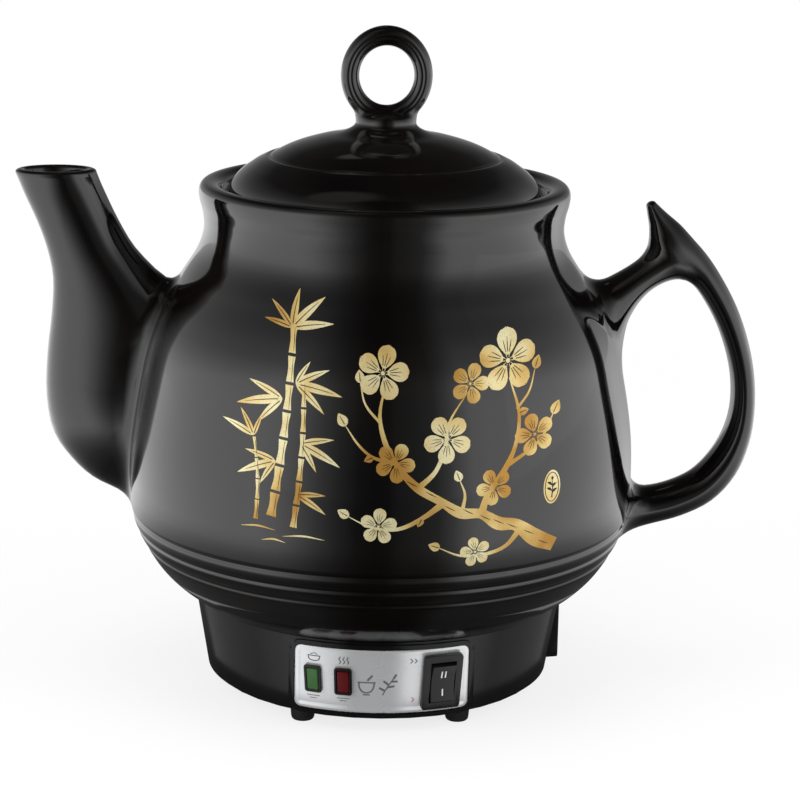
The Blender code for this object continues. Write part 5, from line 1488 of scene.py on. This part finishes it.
@dataclass
class ControlPlate:
    """The bright plate with a pressed border, and the printed marks on it. Lengths in millimetres."""

    shell: BaseShell
    half_width: float = 35.0
    half_height: float = 14.0
    corner: float = 2.6
    middle: float = 23.0
    face: float = 0.2
    border: float = 1.7
    border_rise: float = 0.28
    border_slope: float = 0.5
    edge_round: float = 0.35
    thickness: float = 0.8
    ink: float = 0.03
    cells: tuple[int, int] = (140, 56)
    # Middle, half width and half height of the openings for the switch and the lamps
    openings: tuple[Row, ...] = ((23.5, 6.0, 9.8), (-27.3, 2.6, 4.9), (-15.4, 2.6, 4.9))

    def outline_gap(self, across: float, up: float) -> float:
        """Distance in from the plate's edge at a place, for the pressed border."""
        dx = abs(across) - (self.half_width - self.corner)
        dz = abs(up) - (self.half_height - self.corner)
        outside = math.hypot(max(dx, 0.0), max(dz, 0.0))
        return self.corner - outside - min(max(dx, dz), 0.0)

    def build(self) -> None:
        """Build the plate from a fine grid, then print the marks."""
        shape = bmesh.new()
        bmesh.ops.create_grid(shape, x_segments=self.cells[0], y_segments=self.cells[1], size=0.5)
        for vert in shape.verts:
            across, up = self.squeeze(vert.co.x * 2.0, vert.co.y * 2.0)
            gap = self.outline_gap(across, up)
            lift = self.border_rise * (1.0 - min(max((gap - self.border) / self.border_slope, 0.0), 1.0))
            edge = -self.edge_round * max(0.0, 1.0 - gap / self.edge_round) ** 2
            vert.co = self.shell.front(across, self.middle + up, self.face + lift + edge)
        self.cut_openings(shape)
        bmesh.ops.recalc_face_normals(shape, faces=shape.faces)
        bmesh.ops.solidify(shape, geom=shape.faces, thickness=self.thickness * MM)
        make_piece("control_plate_pressed", shape, BRUSHED_PLATE, Body.POT, ["control_plate"], 60.0)
        self.print_marks()

    def squeeze(self, across: float, up: float) -> tuple[float, float]:
        """Fit a square's place, -1 to 1 both ways, into the plate's rounded outline."""
        x, z = across * self.half_width, up * self.half_height
        dx = abs(x) - (self.half_width - self.corner)
        dz = abs(z) - (self.half_height - self.corner)
        if dx > 0.0 and dz > 0.0:
            reach = max(dx, dz)
            scale = reach / max(math.hypot(dx, dz), 1e-9)
            x = math.copysign(self.half_width - self.corner + dx * scale, x)
            z = math.copysign(self.half_height - self.corner + dz * scale, z)
        return x, z

    def cut_openings(self, shape: bmesh.types.BMesh) -> None:
        """Open the plate behind the switch and the lamps."""
        gone = []
        for face in shape.faces:
            middle = face.calc_center_median() / MM
            for across, half_width, half_height in self.openings:
                if abs(middle.x - across) < half_width and abs(middle.z - self.middle) < half_height:
                    gone.append(face)
        bmesh.ops.delete(shape, geom=gone, context="FACES")

    def mark(self, shape: bmesh.types.BMesh, line: Sequence[Row], width: float) -> None:
        """Lay a printed line on the plate.

        Args:
            shape: The bmesh that it goes into.
            line: Across and up of its points, up from the plate's middle.
            width: Its width.
        """
        rows = fair_curve([(*point, width) for point in line], 5 if len(line) > 2 else 4)
        ribbon(shape, rows, 1, lambda across, up: self.shell.front(across, self.middle + up, self.face + self.ink))

    def print_marks(self) -> None:
        """Print the pictograms: a covered bowl and heat waves by the lamps, slow and quick by the switch."""
        grey, red = bmesh.new(), bmesh.new()
        marks = [
            # Covered bowl above the green lamp
            (0.42, ((-29.6, 9.6), (-29.1, 8.2), (-27.3, 7.7), (-25.5, 8.2), (-25.0, 9.6))),
            (0.42, ((-29.9, 9.9), (-24.7, 9.9))),
            (0.36, ((-28.7, 10.5), (-27.3, 11.1), (-25.9, 10.5))),
            # Three heat waves above the red lamp
            *((0.42, ((x - 0.25, 7.4), (x + 0.35, 8.4), (x - 0.35, 9.5), (x + 0.25, 10.6)))
              for x in (-17.0, -15.4, -13.8)),
            # Short rules under both lamps
            *((0.34, ((x - half, up), (x + half, up)))
              for x in (-27.3, -15.4) for half, up in ((2.6, -8.0), (1.4, -9.1))),
            # Mortar and pestle
            (0.62, ((-9.3, -0.6), (-8.9, -2.9), (-7.8, -4.4), (-6.2, -4.9), (-4.6, -4.4), (-3.5, -2.9), (-3.1, -0.6))),
            (0.60, ((-9.9, -0.3), (-2.5, -0.3))),
            (0.58, ((-7.6, -5.8), (-4.8, -5.8))),
            (0.85, ((-5.9, 0.5), (-3.9, 2.9))),
            # Stem of the leaf sprig
            (0.48, ((0.3, -5.8), (1.4, -3.6), (2.8, -1.2), (4.6, 1.6))),
        ]
        for x, z, lean, length in ((1.2, -3.9, 150.0, 2.7), (2.1, -2.3, 10.0, 2.9), (2.6, -1.2, 140.0, 2.7),
                                   (3.7, 0.3, 0.0, 2.5), (4.6, 1.6, 60.0, 2.2)):
            turn = math.radians(lean)
            tip = (x + length * math.cos(turn), z + length * math.sin(turn))
            marks.append((0.85, ((x, z), ((x + tip[0]) / 2, (z + tip[1]) / 2), tip)))
        for width, line in marks:
            self.mark(grey, line, width)
        # Quick: two chevrons; slow: one chevron
        for shape, x, z in ((grey, 11.2, 9.2), (grey, 12.9, 9.2), (red, 12.0, -8.2)):
            self.mark(shape, ((x, z + 1.0), (x + 1.0, z)), 0.4)
            self.mark(shape, ((x + 1.0, z), (x, z - 1.0)), 0.4)
        for name, shape, finish in (("plate_marks_grey", grey, GREY_INK), ("plate_marks_red", red, RED_INK)):
            turn_faces(shape, lambda middle: Vector((0.0, -1.0, 0.0)))
            make_piece(name, shape, finish, Body.POT, (), 180.0)


@dataclass
class RockerSwitch:
    """The rocker switch: housing, rocker and the bars printed on it.

    Attributes:
        pivot: Middle of the rocker's hinge.
        across: Direction of the hinge.
        inward: Direction into the base, square to the plate.
        up: Direction up the plate.
        half_height: Half the height of the rocker's face, in millimetres, as are the rest.
        face_depth: How far in front of the hinge the middle of the face lies.
        dish: How far the ends of the face stand in front of its middle.
        dish_half: Share of the dish that is reached halfway up.
        ink: Thickness of the ink.
        bars: Middle across, lower end and upper end of each bar.
        bar_width: Width of a bar.
    """

    pivot: Vector = field(default_factory=lambda: Vector((0.023718, -0.071415, 0.022888)))
    across: Vector = field(default_factory=lambda: Vector((0.94903, 0.315185, 0.0)))
    inward: Vector = field(default_factory=lambda: Vector((-0.311113, 0.93677, 0.160222)))
    up: Vector = field(default_factory=lambda: Vector((0.050499, -0.152055, 0.987081)))
    half_height: float = 8.2
    face_depth: float = 2.0
    dish: float = 1.5
    dish_half: float = 0.28
    ink: float = 0.05
    bars: tuple[Row, ...] = ((-0.8, 2.2, 5.4), (0.8, 2.2, 5.4), (0.0, -5.6, -2.8))
    bar_width: float = 0.55

    def depth(self, height: float) -> float:
        """How far behind the hinge the printed face lies at a height: less than nothing, as it is in front."""
        share = float(np.interp(abs(height) / self.half_height, (0.0, 0.5, 1.0), (0.0, self.dish_half, 1.0)))
        return -self.face_depth - self.dish * share - self.ink

    def build(self) -> None:
        """Round the CAD's housing and rocker off, and print the bars."""
        round_node("switch_housing", "switch_housing_rounded", NYLON_BLACK, 0.35, 3)
        round_node("switch_rocker", "switch_rocker_rounded", NYLON_BLACK, 0.35, 3, 40.0, Body.ROCKER)
        shape = bmesh.new()
        for side, low, high in self.bars:
            def place(along: float, over: float) -> Vector:
                height = low + (high - low) * along
                return (self.pivot + self.across * (side + (over - 0.5) * self.bar_width) * MM
                        + self.up * height * MM + self.inward * self.depth(height) * MM)

            patch(shape, 8, 1, place)
        turn_faces(shape, lambda middle: -self.inward)
        make_piece("rocker_bars", shape, WHITE_INK, Body.ROCKER, (), 180.0)


@dataclass
class Lamps:
    """The two indicators: frame and domed lens."""

    lenses: tuple[tuple[str, Finish], ...] = (("warm", GREEN_LENS), ("heat", RED_LENS))

    def build(self) -> None:
        """Round frames and lenses off."""
        for key, finish in self.lenses:
            round_node(f"{key}_lamp_frame", f"{key}_frame_rounded", NYLON_BLACK, 0.22)
            round_node(f"{key}_lamp_lens", f"{key}_lens_rounded", finish, 0.5, 3)


@dataclass
class SmallParts:
    """The remaining CAD nodes: some rounded off, all given their finish."""

    rounded: tuple[tuple[Finish, str], ...] = (
        (NYLON_BLACK, "inlet_socket"), (PLATED_BRASS, "inlet_pin_line inlet_pin_earth inlet_pin_neutral"))
    plain: tuple[tuple[Finish, str], ...] = (
        (BRIGHT_STEEL, "cover_screw_1 cover_screw_2 cover_screw_3 heater_tube heat_shield press_bridge"),
        (BRIGHT_STEEL, "bridge_screw_1 bridge_screw_2"), (CAST_PLATE, "heating_plate"),
        (PHENOLIC, "thermostat_high thermostat_warm thermal_fuse terminal_block"),
        (PLATED_BRASS, "switch_tab_1 switch_tab_2 switch_tab_3"),
        (NEON_GLASS, "warm_neon heat_neon"), (BOARD_PAPER, "lamp_board"))

    def build(self) -> None:
        """Round and dress the nodes."""
        for finish, nodes in self.rounded:
            for node in nodes.split():
                round_node(node, f"{node}_rounded", finish, 0.3)
        for finish, nodes in self.plain:
            for node in nodes.split():
                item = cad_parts[node]
                item.data.materials.clear()
                item.data.materials.append(finish.material())
                LOG.info("%s: %s", node, finish.name)


# Studio


@dataclass
class Studio:
    """Camera, white floor, soft lamps and the room that the glaze reflects.

    Attributes:
        sensor: Width of the camera's sensor in millimetres, as lens is.
        lamps: Name, place, width, depth and watts of each soft lamp, which reflections don't see.
        lamp_aim: The place that the lamps face.
        front_band: Reflected brightness by azimuth in degrees, 0 in front, positive towards the handle.
        low_band: The same for the low card in front of the plate.
        painted_floor_shadow: Painted shadow of the pot on the floor, as reflections see it: brightness by distance
            from the middle.
        room_heights: Reflected brightness of the room by height, 0 level and 1 overhead.
        room_fill: Brightness of the room for matt surfaces.
        behind: Y of a direction between which the room turns from the front's brightness to the back's.
        back_sides: X of a direction between which the back's brightness changes.
        back_levels: The back's brightness there.
        paper_fade: Distances between which the floor turns from lit paper to even white.
        paper_white: Share of even white near the pot.
        oval_edge: Shares of its radius between which an oval lamp fades out.
        ovals: Place, half width and depth, and brightness of the dim oval lamps.
        bowl_radius: Radius of the bowl, from whose front the bands are seen.
    """

    camera_place: Row = (-0.0322, -1.0245, 0.3734)
    camera_tilt: float = 76.15
    camera_turn: float = -1.8
    camera_roll: float = 1.0
    sensor: float = 36.0
    lens: float = 113.4
    shift: float = 0.0236
    clip: Row = (0.01, 50.0)
    lamps: tuple[tuple[str, Row, float, float, float], ...] = (
        ("left_softbox", (-1.15, -0.75, 0.75), 0.9, 0.9, 9.0),
        ("right_softbox", (1.15, -0.65, 0.75), 0.8, 0.9, 8.0),
        ("top_softbox", (-0.10, -0.25, 1.7), 0.9, 0.9, 7.0),
    )
    lamp_aim: Row = (0.0, 0.0, 0.12)
    front_band: tuple[Row, ...] = (
        (-58.0, 1.0), (-49.0, 0.88), (-40.0, 0.62), (-30.0, 0.32), (-21.0, 0.14), (-12.0, 0.04), (-5.0, 0.02),
        (2.0, 0.025), (6.0, 0.06), (15.0, 0.09), (24.0, 0.14), (31.0, 0.34), (37.0, 0.61), (42.0, 0.83), (50.0, 0.90))
    low_band: tuple[Row, ...] = (
        (-80.0, 0.30), (-50.0, 0.36), (-38.0, 0.70), (-33.0, 0.95), (-28.5, 0.78), (-19.8, 0.54), (-15.7, 0.34),
        (-11.0, 0.0), (3.5, 0.0), (5.8, 0.10), (9.3, 0.52), (11.6, 0.62), (28.5, 0.82), (33.0, 0.90), (45.0, 0.36),
        (80.0, 0.25))
    # Painted shadow of the pot on the floor, as reflections see it
    painted_floor_shadow: tuple[Row, ...] = (
        (0.085, 0.03), (0.10, 0.05), (0.12, 0.06), (0.15, 0.06), (0.19, 0.16), (0.24, 0.42), (0.30, 0.80), (0.36, 1.0))
    room_heights: tuple[Row, ...] = (
        (0.00, 1.0), (0.18, 0.92), (0.42, 0.42), (0.68, 0.15), (0.84, 0.03), (1.00, 0.006))
    ovals: tuple[tuple[Row, Row, float], ...] = (
        ((-0.11, 0.88, 1.20), (0.18, 0.16), 0.14), ((-0.45, -0.16, 1.22), (0.50, 0.30), 0.12))
    room_fill: float = 0.75
    behind: Row = (0.60, 0.97)
    back_sides: Row = (-0.5, 0.5)
    back_levels: Row = (0.85, 0.36)
    paper_fade: Row = (0.25, 0.9)
    paper_white: float = 0.80
    oval_edge: Row = (0.55, 0.98)
    floor_size: float = 12.0
    card_distance: float = 0.80
    card_width: float = 2.40
    card_height: float = 2.80
    low_card_radius: float = 0.088
    low_card_heights: Row = (0.001, 0.034)
    low_card_steps: int = 128
    bowl_radius: float = 0.105

    def camera(self) -> None:
        """Set the camera at the photograph's angle."""
        data = bpy.data.cameras.new("photo_camera")
        data.lens, data.sensor_width, data.shift_x = self.lens, self.sensor, self.shift
        data.clip_start, data.clip_end = self.clip
        item = bpy.data.objects.new("photo_camera", data)
        bpy.context.scene.collection.objects.link(item)
        place = Matrix.Translation(self.camera_place)
        for angle, axis in ((self.camera_turn, "Z"), (self.camera_tilt, "X"), (self.camera_roll, "Z")):
            place = place @ Matrix.Rotation(math.radians(angle), 4, axis)
        item.matrix_world = place
        bpy.context.scene.camera = item

    def bare(self, name: str) -> tuple[bpy.types.Material, Nodes]:
        """Make a material with no nodes yet."""
        material = bpy.data.materials.new(name)
        material.use_nodes = True
        material.node_tree.nodes.clear()
        return material, Nodes(material.node_tree)

    def stand(self, name: str, shape: bmesh.types.BMesh, material: bpy.types.Material,
              glossy_only: bool = True) -> None:
        """Put a piece of the studio in place.

        Args:
            name: Its name.
            shape: Its shape, which is freed.
            material: Its material.
            glossy_only: Whether reflections alone see it.
        """
        mesh = bpy.data.meshes.new(name)
        shape.to_mesh(mesh)
        shape.free()
        mesh.materials.append(material)
        item = bpy.data.objects.new(name, mesh)
        bpy.context.scene.collection.objects.link(item)
        if glossy_only:
            item.visible_camera = item.visible_diffuse = item.visible_shadow = item.visible_transmission = False

    def band(self, nodes: Nodes, azimuth: Socket, stops: Sequence[Row]) -> Socket:
        """Brightness by azimuth.

        Args:
            nodes: The nodes.
            azimuth: The azimuth in radians.
            stops: Azimuth in degrees and brightness of each stop.

        Returns:
            The brightness.
        """
        share = nodes.remap(azimuth, (-math.pi / 2, math.pi / 2))
        return nodes.ramp(share, [((angle + 90.0) / 180.0, level) for angle, level in stops])

    def dimming(self, nodes: Nodes, way: Socket) -> Socket:
        """How bright the room is in a direction: dimmer behind the pot, most so towards the handle."""
        axes = nodes.axes(way)
        behind = nodes.remap(axes["Y"], self.behind, kind="SMOOTHSTEP")
        return nodes.mix(behind, 1.0, nodes.remap(axes["X"], self.back_sides, self.back_levels), "FLOAT")

    def floor(self) -> None:
        """Lay the white floor. Reflections see it with painted shade: a painted shadow near the pot, painted darkness
        in front of it, and dimmer behind it.
        """
        material, nodes = self.bare("white_paper_sweep")
        place = nodes.place()
        axes = nodes.axes(place)
        reach = nodes.calc_vector("LENGTH", place)["Value"]
        sheet = nodes.shader("BsdfPrincipled", {"Base Color": linear("#f4f4f4"), "Roughness": 0.8,
                                                "Specular IOR Level": 0.1})
        white = nodes.shader("Emission", {"Color": linear("#ffffff"), "Strength": 1.0})
        share = nodes.remap(reach, self.paper_fade, (self.paper_white, 1.0), "SMOOTHSTEP")
        paper = nodes.either(share, sheet, white)
        # Painted shadow: reflections see the floor dark near the pot, as if it lay in the pot's shadow
        far = self.painted_floor_shadow[-1][0]
        painted_shadow = nodes.ramp(nodes.remap(reach, (0.0, far)), [(off / far, level) for off, level in self.painted_floor_shadow])
        ahead = nodes.calc("MULTIPLY", axes["Y"], -1.0)
        azimuth = nodes.calc("ARCTAN2", axes["X"], ahead)
        # A floor place at distance r, seen in the bowl, lies where the direction turns by 1 / (1 - R / 2r)
        slowing = nodes.calc("SUBTRACT", 1.0, nodes.calc("DIVIDE", self.bowl_radius / 2, reach))
        direction = nodes.calc("DIVIDE", azimuth, nodes.calc("MAXIMUM", slowing, 0.5))
        # Painted shade: reflections see the floor in front darkened by azimuth, with the dark card's band
        band = self.band(nodes, direction, self.front_band)
        light = nodes.calc("MULTIPLY", painted_shadow, self.dimming(nodes, nodes.calc_vector("NORMALIZE", place)[0]))
        # Beyond the card its own band does the darkening
        beyond = nodes.calc("GREATER_THAN", ahead, self.card_distance)
        seen = nodes.shader("Emission", {"Color": nodes.mix(beyond, band, (1.0, 1.0, 1.0, 1.0)), "Strength": light})
        path = nodes.add("LightPath").outputs
        nodes.add("OutputMaterial", {"Surface": nodes.either(path["Is Glossy Ray"], paper, seen)})
        shape = bmesh.new()
        bmesh.ops.create_grid(shape, x_segments=1, y_segments=1, size=self.floor_size / 2)
        self.stand("floor", shape, material, glossy_only=False)

    def world(self) -> None:
        """Make the room: white at the sides, darker overhead and behind, and an even fill for matt surfaces."""
        world = bpy.data.worlds.new("room")
        bpy.context.scene.world = world
        world.use_nodes = True
        world.node_tree.nodes.clear()
        nodes = Nodes(world.node_tree)
        way = nodes.add("TexCoord").outputs["Generated"]
        axes = nodes.axes(way)
        slope = nodes.calc("MULTIPLY_ADD", axes["Y"], 0.25, axes["Z"])
        back = nodes.calc("POWER", nodes.calc("MAXIMUM", axes["Y"], 0.0), 2.0)
        room = nodes.ramp(nodes.calc("MULTIPLY_ADD", back, 0.20, slope), self.room_heights)
        mirrored = nodes.shader("Background", {"Color": room, "Strength": self.dimming(nodes, way)})
        fill, white = (nodes.shader("Background", {"Color": linear("#ffffff"), "Strength": strength})
                       for strength in (self.room_fill, 1.0))
        path = nodes.add("LightPath").outputs
        through = nodes.calc("MAXIMUM", path["Is Camera Ray"], path["Is Transmission Ray"])
        lit = nodes.either(path["Is Glossy Ray"], fill, mirrored)
        nodes.add("OutputWorld", {"Surface": nodes.either(through, lit, white)})

    def dark_card(self) -> None:
        """Stand the black felt in front, where a camera stands, with soft edges."""
        material, nodes = self.bare("black_felt_card")
        across = nodes.axes(nodes.place())["X"]
        azimuth = nodes.calc("ARCTAN2", across, self.card_distance - self.bowl_radius)
        felt = nodes.shader("BsdfTransparent", {"Color": self.band(nodes, azimuth, self.front_band)})
        nodes.add("OutputMaterial", {"Surface": felt})
        shape = bmesh.new()
        bmesh.ops.create_grid(shape, x_segments=1, y_segments=1, size=0.5, matrix=Matrix.Translation(
            (0.0, -self.card_distance, self.card_height / 2)) @ Matrix.Rotation(math.pi / 2, 4, "X")
            @ Matrix.Diagonal((self.card_width, self.card_height, 1.0, 1.0)))
        self.stand("dark_card", shape, material)

    def low_card(self) -> None:
        """Stand a low curved card round the base, which plate and skirt reflect: bright at both sides."""
        material, nodes = self.bare("low_bounce_card")
        axes = nodes.axes(nodes.place())
        azimuth = nodes.calc("ARCTAN2", axes["X"], nodes.calc("MULTIPLY", axes["Y"], -1.0))
        glow = nodes.shader("Emission", {"Color": self.band(nodes, azimuth, self.low_band), "Strength": 1.0})
        # White on the side towards the base alone, so the bowl above doesn't mirror its outside
        side = nodes.add("NewGeometry").outputs["Backfacing"]
        nodes.add("OutputMaterial", {"Surface": nodes.either(side, glow, nodes.shader("BsdfTransparent"))})
        shape = bmesh.new()
        spin_profile(shape, [(self.low_card_radius, height) for height in self.low_card_heights], self.low_card_steps)
        turn_faces(shape, lambda middle: -middle)
        bmesh.ops.delete(shape, geom=[face for face in shape.faces if face.calc_center_median().y > 0.0],
                         context="FACES")
        self.stand("low_card", shape, material)

    def lamp_card(self, number: int, middle: Row, half: Row, brightness: float) -> None:
        """Hang a dim oval lamp up high, which the lid reflects as a faint oval.

        Args:
            number: Its number.
            middle: Its place.
            half: Half its width and depth.
            brightness: Its brightness.
        """
        material, nodes = self.bare(f"dim_oval_lamp_{number}")
        off = nodes.calc_vector("SUBTRACT", nodes.place(), middle)[0]
        circle = nodes.calc_vector("MULTIPLY", off, (1.0 / half[0], 1.0 / half[1], 1.0))[0]
        cover = nodes.remap(nodes.calc_vector("LENGTH", circle)["Value"], self.oval_edge, kind="SMOOTHSTEP")
        glow = nodes.shader("Emission", {"Color": linear("#fffdf6"), "Strength": brightness})
        nodes.add("OutputMaterial", {"Surface": nodes.either(cover, glow, nodes.shader("BsdfTransparent"))})
        shape = bmesh.new()
        bmesh.ops.create_circle(shape, cap_ends=True, radius=1.0, segments=48, matrix=Matrix.Translation(middle)
                                @ Matrix.Diagonal((half[0], half[1], 1.0, 1.0)))
        self.stand(f"lamp_card_{number}", shape, material)

    def light(self) -> None:
        """Hang the soft lamps."""
        for name, place, width, height, power in self.lamps:
            data = bpy.data.lights.new(name, "AREA")
            data.shape, data.size, data.size_y, data.energy = "RECTANGLE", width, height, power
            item = bpy.data.objects.new(name, data)
            bpy.context.scene.collection.objects.link(item)
            aim = Vector(self.lamp_aim) - Vector(place)
            item.matrix_world = Matrix.Translation(place) @ aim.to_track_quat("-Z", "Y").to_matrix().to_4x4()
            item.visible_glossy = False

    def build(self) -> None:
        """Set the stage."""
        self.camera()
        self.floor()
        self.world()
        self.dark_card()
        self.low_card()
        for number, (middle, half, brightness) in enumerate(self.ovals):
            self.lamp_card(number + 1, middle, half, brightness)
        self.light()
        bpy.context.scene.view_settings.view_transform = "Standard"


def main() -> None:
    """Build the pot's looks, in order."""
    logging.basicConfig(level=logging.INFO, format="%(name)s: %(message)s")
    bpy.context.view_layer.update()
    pot = StonewarePot()
    pot.build()
    LidWithRing().build()
    GoldDecoration(pot).build()
    shell = BaseShell()
    shell.build()
    FootPads().build()
    ControlPlate(shell).build()
    RockerSwitch().build()
    Lamps().build()
    SmallParts().build()
    Studio().build()


if __name__ == "__main__":
    main()
